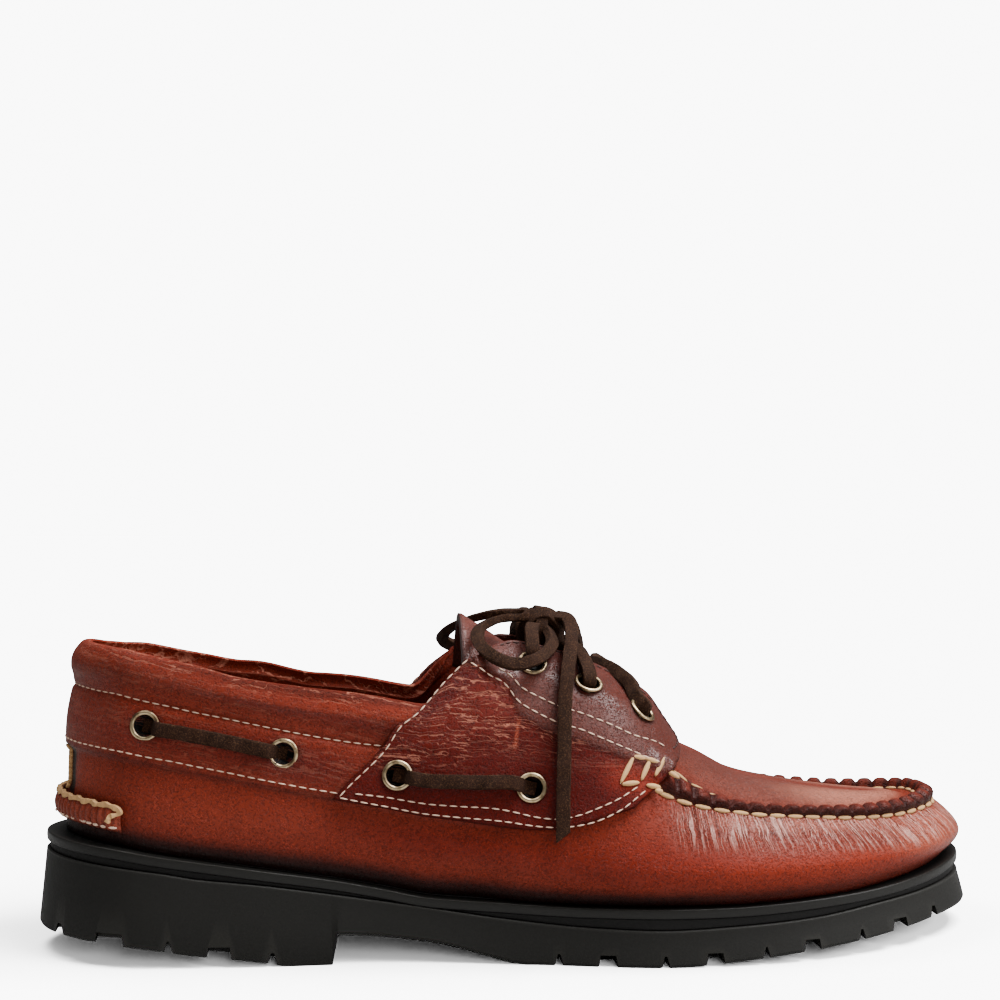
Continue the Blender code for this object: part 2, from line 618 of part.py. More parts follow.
def box_cutter(name, low, high, home):
    mesh = bpy.data.meshes.new(name)
    work = bmesh.new()
    bmesh.ops.create_cube(work, size=1.0)
    centre = (Vector(low) + Vector(high)) / 2
    size = Vector(high) - Vector(low)
    for vert in work.verts:
        vert.co = Vector((vert.co.x * size.x, vert.co.y * size.y, vert.co.z * size.z)) + centre
    work.to_mesh(mesh)
    work.free()
    cutter = bpy.data.objects.new(name, mesh)
    cutter.hide_render = True
    cutter.display_type = "WIRE"
    home.objects.link(cutter)
    return cutter


def cut(thing, cutters):
    """Cut a whole collection of cutters out of an object."""
    modifier = thing.modifiers.new("cut", "BOOLEAN")
    modifier.operation = "DIFFERENCE"
    modifier.solver = "EXACT"
    modifier.operand_type = "COLLECTION"
    modifier.collection = cutters


# The sole

def build_outsole(home, cutters, finish):
    rings = [
        sole_ring(EDGE_ROUND, lambda at: tread(at)),
        sole_ring(0.0, lambda at: tread(at) + EDGE_ROUND),
        sole_ring(WALL_LEAN, lambda at: ridge_height(at)),
        sole_ring(WALL_LEAN + BAND_RECESS, lambda at: ridge_height(at)),
    ]
    thing = add_object("outsole", stack_mesh("outsole", rings), finish, home)
    for side, sign in (("outer", -1), ("inner", 1)):
        for number, (first, last, depth) in enumerate(SIDE_GROOVES):
            middle = (first + last) / 2
            point, _ = plan_at(np.array([sign * turn_of(middle)]))
            rim = float(point[0, 1])
            reach = min(SIDE_LUG_REACH, abs(rim) - CENTRE_GROOVE)
            ends = sorted((rim - sign * reach, sign * BALL_WIDTH))
            top = float(tread(np.array(middle))) + depth
            box_cutter(f"groove_{side}_{number}", ((first - 0.5) * LENGTH, ends[0], -LUG_DEPTH),
                       ((last - 0.5) * LENGTH, ends[1], top), cutters)
    for number, (first, last) in enumerate(MIDDLE_GROOVES):
        middle = (first + last) / 2
        outer, _ = plan_at(np.array([-turn_of(middle)]))
        inner, _ = plan_at(np.array([turn_of(middle)]))
        low = float(outer[0, 1]) + SIDE_LUG_REACH - CENTRE_GROOVE
        high = float(inner[0, 1]) - SIDE_LUG_REACH + CENTRE_GROOVE
        top = float(tread(np.array(middle))) + LUG_DEPTH
        box_cutter(f"groove_middle_{number}", ((first - 0.5) * LENGTH, low, -LUG_DEPTH),
                   ((last - 0.5) * LENGTH, high, top), cutters)
    cut(thing, cutters)


def build_midsole(home, finish):
    inset = WALL_LEAN + BAND_RECESS
    rings = [
        sole_ring(inset, lambda at: ridge_height(at) + GAP),
        sole_ring(inset, lambda at: deck(at) - WELT_THICK - GAP),
    ]
    add_object("midsole", stack_mesh("midsole", rings), finish, home)


def build_welt(home, finish):
    round_off = EDGE_ROUND / 2
    rings = [
        sole_ring(WALL_LEAN, lambda at: deck(at) - WELT_THICK),
        sole_ring(WALL_LEAN, lambda at: deck(at) - round_off),
        sole_ring(WALL_LEAN + round_off, lambda at: deck(at)),
    ]
    add_object("welt", stack_mesh("welt", rings), finish, home)


def feather_ring(inset, height):
    """A ring inside the upper's feather edge."""
    half = ring_turns()
    turns = np.concatenate((-half, half[-2:0:-1]))
    point, normal = plan_at(turns)
    at = at_of(turns)
    edge = monotone(FEATHER_INSET, (1,), at)[..., 0] * BALL_WIDTH + inset
    return np.concatenate((point - normal * edge[:, None], height(at)[:, None]), 1).tolist()


def build_insole(home, finish):
    inset = LEATHER + INSOLE_MARGIN
    rings = [
        feather_ring(inset, lambda at: deck(at) + GAP),
        feather_ring(inset, lambda at: deck(at) + GAP + INSOLE_THICK),
    ]
    add_object("insole", stack_mesh("insole", rings), finish, home)


# The upper

UPPER_ROWS = (0.0, 0.08, 0.17, 0.28, 0.38, 0.46, 0.49, 0.52, 0.55, 0.58, 0.64, 0.72, 0.81, 0.90, 1.0)
SADDLE_ROWS_FROM = 0.38


def upper_turns():
    """Turns round the upper, with stations at the throat's corner and end."""
    even = np.linspace(0, 1, AROUND // 2 + 1)
    low, high = turn_of(THROAT_FROM), turn_of(THROAT_END)
    kept = [t for t in even if t < low - STATION_CLEAR or t > high + STATION_CLEAR]
    half = np.array(sorted(kept + list(turn_of(np.array(THROAT_STATIONS)))))
    return np.concatenate((-half, half[-2:0:-1]))


def build_upper(home, finish):
    turns = upper_turns()
    rows = np.array(UPPER_ROWS)
    grid = upper_surface(turns[:, None], rows[None, :])
    count, levels = grid.shape[:2]
    points = grid.reshape(-1, 3)
    closed = at_of(turns) >= THROAT_END - 1e-9
    faces = []
    for i in range(count):
        j = (i + 1) % count
        for r in range(levels - 1):
            faces.append((i * levels + r, j * levels + r, j * levels + r + 1, i * levels + r + 1))
    mesh = bpy.data.meshes.new("upper")
    work = bmesh.new()
    layer = work.verts.layers.deform.verify()
    verts = [work.verts.new(p) for p in points]
    thick = LEATHER + COLLAR_PAD
    for i in range(count):
        padded = float(ease(COLLAR_END, COLLAR_FULL, at_of(turns[i])))
        for r in range(levels):
            pad = COLLAR_PAD * padded * float(ease(PAD_LOW, PAD_HIGH, rows[r]))
            verts[i * levels + r][layer][0] = (LEATHER + pad) / thick
    for face in faces:
        work.faces.new([verts[k] for k in face])
    bmesh.ops.remove_doubles(work, verts=[v for i in range(count) if closed[i] for v in
                                          [verts[i * levels + levels - 1]]], dist=1e-5)
    bmesh.ops.recalc_face_normals(work, faces=work.faces)
    if sum(f.normal.z for f in work.faces) < 0:
        bmesh.ops.reverse_faces(work, faces=work.faces)
    work.to_mesh(mesh)
    work.free()
    mesh.shade_smooth()
    thing = add_object("upper", mesh, finish, home)
    group = thing.vertex_groups.new(name="wall")
    modifier = thing.modifiers.new("wall", "SOLIDIFY")
    modifier.thickness = thick
    modifier.offset = -1
    modifier.vertex_group = group.name
    modifier.use_even_offset = False
    return thing


def slab_mesh(name, outside, inside):
    """A closed slab between two grids of points of one shape."""
    rows, columns = outside.shape[:2]
    points = np.concatenate((outside.reshape(-1, 3), inside.reshape(-1, 3))).tolist()
    shift = rows * columns
    faces = []
    for i in range(rows - 1):
        for j in range(columns - 1):
            a, b = i * columns + j, (i + 1) * columns + j
            faces.append((a, b, b + 1, a + 1))
            faces.append((shift + a, shift + a + 1, shift + b + 1, shift + b))
    border = [(i, 0) for i in range(rows)] + [(rows - 1, j) for j in range(1, columns)]
    border += [(i, columns - 1) for i in range(rows - 2, -1, -1)] + [(0, j) for j in range(columns - 2, 0, -1)]
    ids = [i * columns + j for i, j in border]
    for k, a in enumerate(ids):
        b = ids[(k + 1) % len(ids)]
        faces.append((a, shift + a, shift + b, b))
    return mesh_from(name, points, faces)


def saddle_grid(sign, lift, along=17):
    """Points over the saddle's area at a height over the upper, on the upper's own rows."""
    a = np.linspace(0, 1, along)
    rear_low, rear_high = SADDLE_REAR[0][0], SADDLE_REAR[-1][0]
    foot = monotone(SADDLE_FOOT, (1,), a)[:, 0]
    shared = np.array([row for row in UPPER_ROWS if row >= SADDLE_ROWS_FROM])
    height = np.concatenate((foot[:, None], np.broadcast_to(shared, (along, len(shared)))), 1)
    rear = monotone(SADDLE_REAR, (1,), np.clip(height, rear_low, rear_high))[..., 0]
    front = monotone(SADDLE_FRONT, (1,), np.clip(height, rear_low, rear_high))[..., 0]
    at = rear + (front - rear) * a[:, None]
    turn = sign * turn_of(at)
    return upper_surface(turn, height, lift)


def build_saddle(name, sign, home, finish):
    outside = saddle_grid(sign, GAP + FACET + OVERLAY)
    inside = saddle_grid(sign, GAP + FACET)
    add_object(name, slab_mesh(name, outside, inside), finish, home)


def build_kicker(home, finish):
    end = turn_of(KICKER_END)
    turns = np.linspace(-end, end, 13)
    heights = np.linspace(KICKER_LOW, KICKER_HIGH, 5)
    crown = 1 - KICKER_CROWN * np.linspace(-1, 1, 5)**2
    outside = upper_surface(turns[:, None], heights[None, :], GAP + KICKER_THICK * crown[None, :])
    inside = upper_surface(turns[:, None], heights[None, :], GAP)
    add_object("heel_kicker", slab_mesh("heel_kicker", outside, inside), finish, home)


def build_tongue(home, finish):
    stations = np.linspace(TONGUE[0][0], TONGUE[-1][0], 10)
    across = np.linspace(-1, 1, 9)
    rows = monotone(TONGUE, (1, 2, 3), stations)
    half = rows[:, 0] * BALL_WIDTH
    edge = deck(stations) + rows[:, 1] * INSTEP_HEIGHT
    middle = deck(stations) + rows[:, 2] * INSTEP_HEIGHT
    ridge = monotone(RIDGE_SIDE, (1,), stations)[:, 0] * BALL_WIDTH
    grid = np.empty((len(stations), len(across), 3))
    grid[..., 0] = ((stations - 0.5) * LENGTH)[:, None]
    grid[..., 1] = ridge[:, None] + half[:, None] * across
    grid[..., 2] = middle[:, None] - (middle - edge)[:, None] * across**2
    along = np.gradient(grid, axis=0)
    side = np.gradient(grid, axis=1)
    normal = np.cross(along, side)
    normal /= np.linalg.norm(normal, axis=-1)[..., None]
    add_object("tongue", slab_mesh("tongue", grid, grid - normal * TONGUE_THICK), finish, home)


# Eyelets and lace

def saddle_lift():
    """How high the saddle's outside lies over the upper."""
    return GAP + FACET + OVERLAY


def eyelet_place(sign, at, height, on_saddle):
    """Centre and outward normal of an eyelet's seat."""
    turn = np.array([sign * turn_of(at)])
    up = np.array([height])
    lift = SEAT + (saddle_lift() if on_saddle else 0.0)
    return upper_surface(turn, up, lift)[0], outward(turn, up)[0]


def eyelet_mesh():
    """A rolled rim, as a turned profile. The mesh is shared by all eyelets."""
    outer, hole = EYELET_OUTER / 2, EYELET_HOLE / 2
    wide = outer - hole
    profile = ((outer, 0.0), (outer - 0.25 * wide, EYELET_HEIGHT), (hole + 0.25 * wide, EYELET_HEIGHT),
               (hole, 0.0))
    mesh = bpy.data.meshes.new("eyelet")
    points = [(x, 0, z) for x, z in profile]
    edges = [(i, (i + 1) % len(profile)) for i in range(len(profile))]
    mesh.from_pydata(points, edges, [])
    return mesh


def build_eyelets(home, finish):
    mesh = eyelet_mesh()
    mesh.materials.append(finish)
    for side, sign in (("outer", -1), ("inner", 1)):
        seats = [("side", n, at, up, n >= SADDLE_EYELETS_FROM) for n, (at, up) in enumerate(SIDE_EYELETS)]
        seats += [("facing", n, at, up, True) for n, (at, up) in enumerate(FACING_EYELETS)]
        for row, number, at, up, on_saddle in seats:
            centre, normal = eyelet_place(sign, at, up, on_saddle)
            ring = bpy.data.objects.new(f"eyelet_{side}_{row}_{number + 1}", mesh)
            ring.location = centre
            ring.rotation_euler = Vector(normal).to_track_quat("Z", "Y").to_euler()
            home.objects.link(ring)
            turned = ring.modifiers.new("turned", "SCREW")
            turned.angle = math.tau
            turned.steps = turned.render_steps = 12
            turned.use_merge_vertices = True
            turned.merge_threshold = 0.00001
            turned.use_normal_calculate = True
            turned.use_normal_flip = True


def side_lace(name, sign, first, last, on_saddle, home, finish):
    """The lace's bar along the side, lying on the leather between two eyelets."""
    clear = (EYELET_OUTER / 2 + 2 * GAP) / LENGTH
    along = np.linspace(first[0] + clear, last[0] - clear, 9)
    centre = first[1] + (last[1] - first[1]) * (along - first[0]) / (last[0] - first[0])
    turn = sign * turn_of(along)
    reach = 0.01
    step = np.linalg.norm(smooth_surface(turn, centre + reach) - smooth_surface(turn, centre - reach), axis=-1)
    half = LACE_WIDTH / 2 * 2 * reach / step
    across = np.array((-1.0, -0.5, 0.5, 1.0))
    crown = np.array((0.45, 1.0, 1.0, 0.45)) * LACE_THICK
    base = SEAT + (saddle_lift() if on_saddle else 0.0)
    height = centre[:, None] + half[:, None] * across
    outside = upper_surface(turn[:, None], height, base + crown[None, :])
    inside = upper_surface(turn[:, None], height, base)
    add_object(name, slab_mesh(name, outside, inside), finish, home)


def smooth_route(points, samples):
    """An open smooth curve through the points."""
    p = np.array(points, float)
    chord = np.concatenate(([0], np.cumsum(np.sqrt(np.linalg.norm(np.diff(p, axis=0), axis=1)))))
    rows = [[k] + list(q) for k, q in zip(chord, p)]
    at = np.array([row[0] for row in rows])
    rate = np.gradient(p, at, axis=0)
    x = np.linspace(0, at[-1], samples)
    i = np.clip(np.searchsorted(at, x, side="right") - 1, 0, len(at) - 2)
    h = np.diff(at)[i][:, None]
    u = ((x - at[i]) / np.diff(at)[i])[:, None]
    return (p[i] * (2 * u**3 - 3 * u**2 + 1) + rate[i] * h * (u**3 - 2 * u**2 + u)
            + p[i + 1] * (3 * u**2 - 2 * u**3) + rate[i + 1] * h * (u**3 - u**2))


def cord_tube(name, points, samples, home, finish):
    curve = bpy.data.curves.new(name, "CURVE")
    curve.dimensions = "3D"
    curve.bevel_depth = LACE_THICK / 2
    curve.bevel_resolution = 2
    curve.use_fill_caps = True
    spline = curve.splines.new("POLY")
    route = smooth_route(points, samples)
    spline.points.add(len(route) - 1)
    for point, place in zip(spline.points, route):
        point.co = (*place, 1)
    curve.materials.append(finish)
    thing = bpy.data.objects.new(name, curve)
    home.objects.link(thing)
    return thing


def as_mesh(thing, home):
    """The curve object as a mesh object with its caps welded."""
    solid = bpy.data.meshes.new_from_object(thing.evaluated_get(bpy.context.evaluated_depsgraph_get()))
    work = bmesh.new()
    work.from_mesh(solid)
    bmesh.ops.remove_doubles(work, verts=work.verts, dist=1e-6)
    work.to_mesh(solid)
    work.free()
    made = bpy.data.objects.new(thing.name + "_solid", solid)
    made.matrix_world = thing.matrix_world
    home.objects.link(made)
    bpy.data.objects.remove(thing)
    return made


def mirrored(route):
    return tuple((x, -y, z) for x, y, z in route)


def throat_route(eyelet, clear, rows):
    """A strand's points from over the outer side's eyelet on, across the throat."""
    at, height = eyelet
    centre, normal = eyelet_place(-1, at, height, True)
    route = [tuple(centre + normal * clear)]
    for at, side, rise in rows:
        route.append(((at - 0.5) * LENGTH, side * BALL_WIDTH, float(deck(at)) + rise * INSTEP_HEIGHT))
    return tuple(route)


def build_crossings(home, cutters, finish):
    """The front bar over the throat, and the crossed strands behind it joined into one solid."""
    half = throat_route(FACING_EYELETS[2], BAR_CLEAR, BAR_ROUTE)
    bar = half + mirrored(half[-2::-1])
    strand = throat_route(FACING_EYELETS[1], CROSS_CLEAR, CROSS_ROUTE)
    under = tuple((x + GAP, y, z) for x, y, z in mirrored(strand))
    cord_tube("lace_bar", bar, 11, home, finish)
    strands = [cord_tube(f"strand_{number}", route, 8, cutters, finish)
               for number, route in enumerate((strand, under))]
    bpy.context.view_layer.update()
    first, second = [as_mesh(tube, cutters) for tube in strands]
    cutters.objects.unlink(first)
    home.objects.link(first)
    first.name = "lace_crossing"
    second.hide_render = True
    second.display_type = "WIRE"
    join = first.modifiers.new("joined", "BOOLEAN")
    join.operation = "UNION"
    join.solver = "EXACT"
    join.object = second


def build_side_laces(home, finish):
    for side, sign in (("outer", -1), ("inner", 1)):
        side_lace(f"lace_side_{side}_rear", sign, SIDE_EYELETS[0], SIDE_EYELETS[1], False, home, finish)
        side_lace(f"lace_side_{side}_front", sign, SIDE_EYELETS[2], SIDE_EYELETS[3], True, home, finish)


def build_bow(home, finish):
    """The knot, its two risers, two loops and two ends, each a plain tube on its route."""
    mesh = bpy.data.meshes.new("lace_knot")
    work = bmesh.new()
    bmesh.ops.create_uvsphere(work, u_segments=10, v_segments=6, radius=0.5)
    for vert in work.verts:
        vert.co = Vector([c * size for c, size in zip(vert.co, KNOT_SIZE)]) + Vector(KNOT_CENTRE)
    work.to_mesh(mesh)
    work.free()
    mesh.shade_smooth()
    add_object("lace_knot", mesh, finish, home)
    for name, (samples, points) in BOW_ROUTES.items():
        cord_tube(name, points, samples, home, finish)


def main():
    clear_scene()
    parts = collection("boat_shoe")
    cutters = collection("tread_cutters")
    joiners = collection("lace_joiners")
    rubber = material("rubber", (0.014, 0.014, 0.013), 0.55)
    edge_rubber = material("welt_rubber", (0.03, 0.03, 0.028), 0.40)
    leather = material("leather", (0.20, 0.045, 0.022), 0.42)
    saddle_leather = material("saddle_leather", (0.16, 0.02, 0.012), 0.38)
    lining = material("lining", (0.45, 0.25, 0.14), 0.65)
    brass = material("antique_brass", (0.42, 0.33, 0.20), 0.35, 1.0)
    rawhide = material("rawhide", (0.045, 0.028, 0.018), 0.75)
    build_outsole(parts, cutters, rubber)
    build_midsole(parts, rubber)
    build_welt(parts, edge_rubber)
    build_insole(parts, lining)
    build_upper(parts, leather)
    build_tongue(parts, leather)
    build_saddle("saddle_outer", -1, parts, saddle_leather)
    build_saddle("saddle_inner", 1, parts, saddle_leather)
    build_kicker(parts, leather)
    build_eyelets(parts, brass)
    build_side_laces(parts, rawhide)
    build_crossings(parts, joiners, rawhide)
    build_bow(parts, rawhide)


main()
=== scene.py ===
# %% [markdown]
# # A leather boat shoe
#
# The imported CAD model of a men's boat shoe for the right foot is loaded as a fixed frame, and each
# of its plain solids gets the look of the real material: oily pull-up leather with creases,
# stitches and a hand-sewn moccasin seam, rawhide lace, brass eyelets and a lugged rubber sole.
# Units are metres. +X runs from heel to toe, -Y is the outer side, and the floor is at Z = 0.

import math

import bpy
import numpy as np
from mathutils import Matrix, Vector


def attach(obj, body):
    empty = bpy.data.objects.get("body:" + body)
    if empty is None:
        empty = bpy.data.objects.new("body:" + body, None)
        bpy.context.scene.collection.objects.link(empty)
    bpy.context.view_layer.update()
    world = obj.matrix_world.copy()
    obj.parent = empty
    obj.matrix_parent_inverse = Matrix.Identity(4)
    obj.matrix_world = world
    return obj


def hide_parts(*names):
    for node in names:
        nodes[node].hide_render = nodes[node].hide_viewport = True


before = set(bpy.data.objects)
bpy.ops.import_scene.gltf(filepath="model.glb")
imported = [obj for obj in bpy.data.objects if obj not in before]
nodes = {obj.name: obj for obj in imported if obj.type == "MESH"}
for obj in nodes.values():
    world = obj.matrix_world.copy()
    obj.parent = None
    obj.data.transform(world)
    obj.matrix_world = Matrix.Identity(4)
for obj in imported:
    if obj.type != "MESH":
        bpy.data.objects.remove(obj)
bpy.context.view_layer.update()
bpy.ops.object.select_all(action="DESELECT")

# %% [markdown]
# ## The camera
#
# The shoe is seen from its outer side, from 55 cm away and a little over its top, turned six
# degrees towards the heel. The camera is level, so upright edges stay upright in the picture.

# %% Camera
CAMERA_PLACE = (-0.0631, -0.5517, 0.1401)
CAMERA_TURN = math.radians(-6.0)
LENS = 61.2
SENSOR = 36.0

bpy.ops.object.camera_add(location=CAMERA_PLACE, rotation=(math.radians(90.0), 0.0, CAMERA_TURN))
camera = bpy.context.object
camera.name = "camera"
camera.data.lens = LENS
camera.data.sensor_width = SENSOR
camera.data.clip_start = 0.01
bpy.context.scene.camera = camera
print("camera at", CAMERA_PLACE, "lens", LENS)

# %% [markdown]
# ## The shoe's sizes
#
# The leather pieces all lie on one surface, so it is described once, with the sizes and tables that
# the solids were built from. A point on it is given by its turn round the shoe, from -1 at the
# toe over the outer side to 0 at the heel and on to 1 at the toe again, and by its height, 0 at
# the sole and 1 at the top edge. Tables hold shares of the named sizes.

# %% Sizes and tables
# Driving sizes: the sole
LENGTH = 0.303
BALL_WIDTH = 0.104
HEEL_WIDTH = 0.076
HEEL_STACK = 0.0365
BALL_STACK = 0.0170
TOE_STACK = 0.0240
HEEL_BEVEL = 0.0074
TOE_SPRING = 0.0080
ARCH_RISE = 0.0089
WELT_THICK = 0.0030
BAND_RECESS = 0.0010
WALL_LEAN = 0.0022
EDGE_ROUND = 0.0010
LUG_DEPTH = 0.0052
SIPE_DEPTH = 0.0034
SIDE_LUG_REACH = 0.020
CENTRE_GROOVE = 0.0050

# Driving sizes: the upper
QUARTER_HEIGHT = 0.0600
INSTEP_HEIGHT = 0.0755
TOE_BOX_HEIGHT = 0.0270
LEATHER = 0.0022
COLLAR_PAD = 0.0030
COLLAR_BULGE = 0.0012
SEAM_HEIGHT = 0.0026
OVERLAY = 0.0015
KICKER_THICK = 0.0022
INSOLE_THICK = 0.0040
INSOLE_MARGIN = 0.0035
TONGUE_THICK = 0.0018

# Driving sizes: eyelets and lace
EYELET_OUTER = 0.0096
EYELET_HOLE = 0.0064
EYELET_HEIGHT = 0.0010
LACE_WIDTH = 0.0042
LACE_THICK = 0.0030

# Fits: the gap between pieces, what a curved piece's facets may cut into it, and how far small
# pieces sit off the leather
GAP = 0.0003
FACET = 0.00085
SEAT = 0.0007

# How finely the surfaces are faceted
AROUND = 48
STATION_CLEAR = 0.01
PLAN_POINTS = 960

# The plan of the sole: share of the length from the heel, share of the half width that the
# point follows (negative is the outer side), and which width that is
PLAN = (
    (0.000, 0.00, HEEL_WIDTH),
    (0.022, -0.49, HEEL_WIDTH),
    (0.085, -0.90, HEEL_WIDTH),
    (0.200, -1.00, HEEL_WIDTH),
    (0.360, -1.00, HEEL_WIDTH),
    (0.500, -0.845, BALL_WIDTH),
    (0.635, -1.00, BALL_WIDTH),
    (0.770, -0.955, BALL_WIDTH),
    (0.875, -0.74, BALL_WIDTH),
    (0.950, -0.44, BALL_WIDTH),
    (0.989, -0.15, BALL_WIDTH),
    (1.000, 0.13, BALL_WIDTH),
    (0.988, 0.43, BALL_WIDTH),
    (0.935, 0.74, BALL_WIDTH),
    (0.840, 0.95, BALL_WIDTH),
    (0.735, 1.00, BALL_WIDTH),
    (0.600, 0.86, BALL_WIDTH),
    (0.450, 0.63, BALL_WIDTH),
    (0.320, 0.84, HEEL_WIDTH),
    (0.190, 0.95, HEEL_WIDTH),
    (0.085, 0.89, HEEL_WIDTH),
    (0.022, 0.49, HEEL_WIDTH),
)

# The sole's side: share of the length, the height that the row follows, and the welt's top
# and the outsole's ridge as shares of it
SOLE_SIDE = (
    (0.000, HEEL_STACK, 1.000, 0.850),
    (0.080, HEEL_STACK, 0.964, 0.812),
    (0.130, HEEL_STACK, 0.905, 0.768),
    (0.170, HEEL_STACK, 0.855, 0.712),
    (0.230, HEEL_STACK, 0.780, 0.658),
    (0.300, HEEL_STACK, 0.690, 0.570),
    (0.350, HEEL_STACK, 0.610, 0.505),
    (0.400, HEEL_STACK, 0.530, 0.445),
    (0.470, BALL_STACK, 1.060, 0.780),
    (0.550, BALL_STACK, 1.000, 0.650),
    (0.630, BALL_STACK, 1.000, 0.615),
    (0.700, BALL_STACK, 1.010, 0.660),
    (0.795, BALL_STACK, 1.075, 0.745),
    (0.860, TOE_STACK, 0.800, 0.605),
    (0.930, TOE_STACK, 0.875, 0.665),
    (1.000, TOE_STACK, 1.000, 0.750),
)

# The tread's height above the floor: share of the length, the rise that the row follows, share
TREAD = (
    (0.000, HEEL_BEVEL, 1.00),
    (0.065, HEEL_BEVEL, 0.97),
    (0.130, HEEL_BEVEL, 0.72),
    (0.170, HEEL_BEVEL, 0.48),
    (0.230, HEEL_BEVEL, 0.21),
    (0.262, HEEL_BEVEL, 0.00),
    (0.303, HEEL_BEVEL, 0.00),
    (0.308, ARCH_RISE, 1.00),
    (0.400, ARCH_RISE, 0.72),
    (0.475, ARCH_RISE, 0.11),
    (0.490, ARCH_RISE, 0.00),
    (0.635, TOE_SPRING, 0.00),
    (0.710, TOE_SPRING, 0.18),
    (0.750, TOE_SPRING, 0.30),
    (0.805, TOE_SPRING, 0.46),
    (0.850, TOE_SPRING, 0.60),
    (0.907, TOE_SPRING, 0.80),
    (0.944, TOE_SPRING, 0.92),
    (1.000, TOE_SPRING, 1.00),
)

# Shares of the length where the sole's rings need a point: the heel's breast, the ends of the
# flats, and the throat's corner
SOLE_STATIONS = (TREAD[5][0], TREAD[6][0], TREAD[7][0], 0.395, 0.442, TREAD[10][0], TREAD[11][0])

# Grooves between the side lugs: share of the length from, to, and the groove's depth
SIDE_GROOVES = (
    (0.030, 0.040, SIPE_DEPTH),
    (0.076, 0.106, LUG_DEPTH),
    (0.145, 0.153, SIPE_DEPTH),
    (0.188, 0.213, LUG_DEPTH),
    (0.248, 0.257, SIPE_DEPTH),
    (0.535, 0.543, SIPE_DEPTH),
    (0.579, 0.597, LUG_DEPTH),
    (0.640, 0.648, SIPE_DEPTH),
    (0.686, 0.704, LUG_DEPTH),
    (0.744, 0.751, SIPE_DEPTH),
    (0.789, 0.807, LUG_DEPTH),
    (0.850, 0.858, SIPE_DEPTH),
    (0.893, 0.912, LUG_DEPTH),
    (0.944, 0.954, SIPE_DEPTH),
)

# Grooves between the lugs in the middle of the tread: share of the length from, to
MIDDLE_GROOVES = (
    (0.120, 0.135),
    (0.225, 0.240),
    (0.560, 0.575),
    (0.615, 0.630),
    (0.665, 0.680),
    (0.720, 0.735),
    (0.770, 0.785),
    (0.825, 0.840),
    (0.875, 0.888),
)

# Where the upper's rows of height lie between its feather edge (0) and its top edge (1)
FEATHER, BELLY, SHOULDER, CREST, INNER, MIDDLE, TOP = 0.0, 0.17, 0.38, 0.50, 0.57, 0.78, 1.0
KNOTS = (FEATHER, BELLY, SHOULDER, CREST, INNER, MIDDLE, TOP)

# Sections of the upper, each row at a share of the length. The height that the row follows,
# then for belly, shoulder, crest and inner line the inset from the sole's plan as a share of
# the ball width and the height above the welt as a share of the row's height. The middle
# line lies between inner line and top: its share of the way across, and of the way up.
SECTIONS = (
    (0.000, QUARTER_HEIGHT, 0.070, 0.20, 0.080, 0.50, 0.092, 0.68, 0.098, 0.78, 0.12, 0.58),
    (0.040, QUARTER_HEIGHT, 0.064, 0.20, 0.073, 0.50, 0.085, 0.68, 0.090, 0.78, 0.12, 0.58),
    (0.100, QUARTER_HEIGHT, 0.042, 0.20, 0.054, 0.50, 0.065, 0.69, 0.067, 0.80, 0.10, 0.52),
    (0.165, QUARTER_HEIGHT, 0.028, 0.20, 0.042, 0.50, 0.051, 0.69, 0.053, 0.79, 0.10, 0.48),
    (0.297, QUARTER_HEIGHT, 0.014, 0.21, 0.024, 0.48, 0.034, 0.67, 0.037, 0.76, 0.10, 0.50),
    (0.390, QUARTER_HEIGHT, 0.004, 0.21, 0.015, 0.50, 0.036, 0.72, 0.043, 0.81, 0.25, 0.52),
    (0.442, INSTEP_HEIGHT, 0.000, 0.17, 0.026, 0.40, 0.068, 0.65, 0.084, 0.75, 0.40, 0.54),
    (0.488, INSTEP_HEIGHT, 0.000, 0.16, 0.040, 0.41, 0.115, 0.71, 0.160, 0.81, 0.45, 0.56),
    (0.561, INSTEP_HEIGHT, -0.005, 0.15, 0.045, 0.41, 0.112, 0.63, 0.160, 0.74, 0.45, 0.58),
    (0.627, INSTEP_HEIGHT, -0.005, 0.14, 0.077, 0.37, 0.140, 0.50, 0.190, 0.58, 0.45, 0.58),
    (0.660, INSTEP_HEIGHT, -0.005, 0.14, 0.092, 0.34, 0.140, 0.41, 0.175, 0.455, 0.45, 0.66),
    (0.733, TOE_BOX_HEIGHT, -0.005, 0.37, 0.106, 0.85, 0.140, 0.960, 0.170, 0.975, 0.45, 0.68),
    (0.805, TOE_BOX_HEIGHT, -0.003, 0.37, 0.106, 0.77, 0.137, 0.875, 0.165, 0.865, 0.45, 0.66),
    (0.881, TOE_BOX_HEIGHT, 0.005, 0.33, 0.106, 0.67, 0.138, 0.775, 0.165, 0.745, 0.45, 0.62),
    (1.000, TOE_BOX_HEIGHT, 0.014, 0.23, 0.078, 0.540, 0.133, 0.670, 0.165, 0.635, 0.45, 0.60),
)

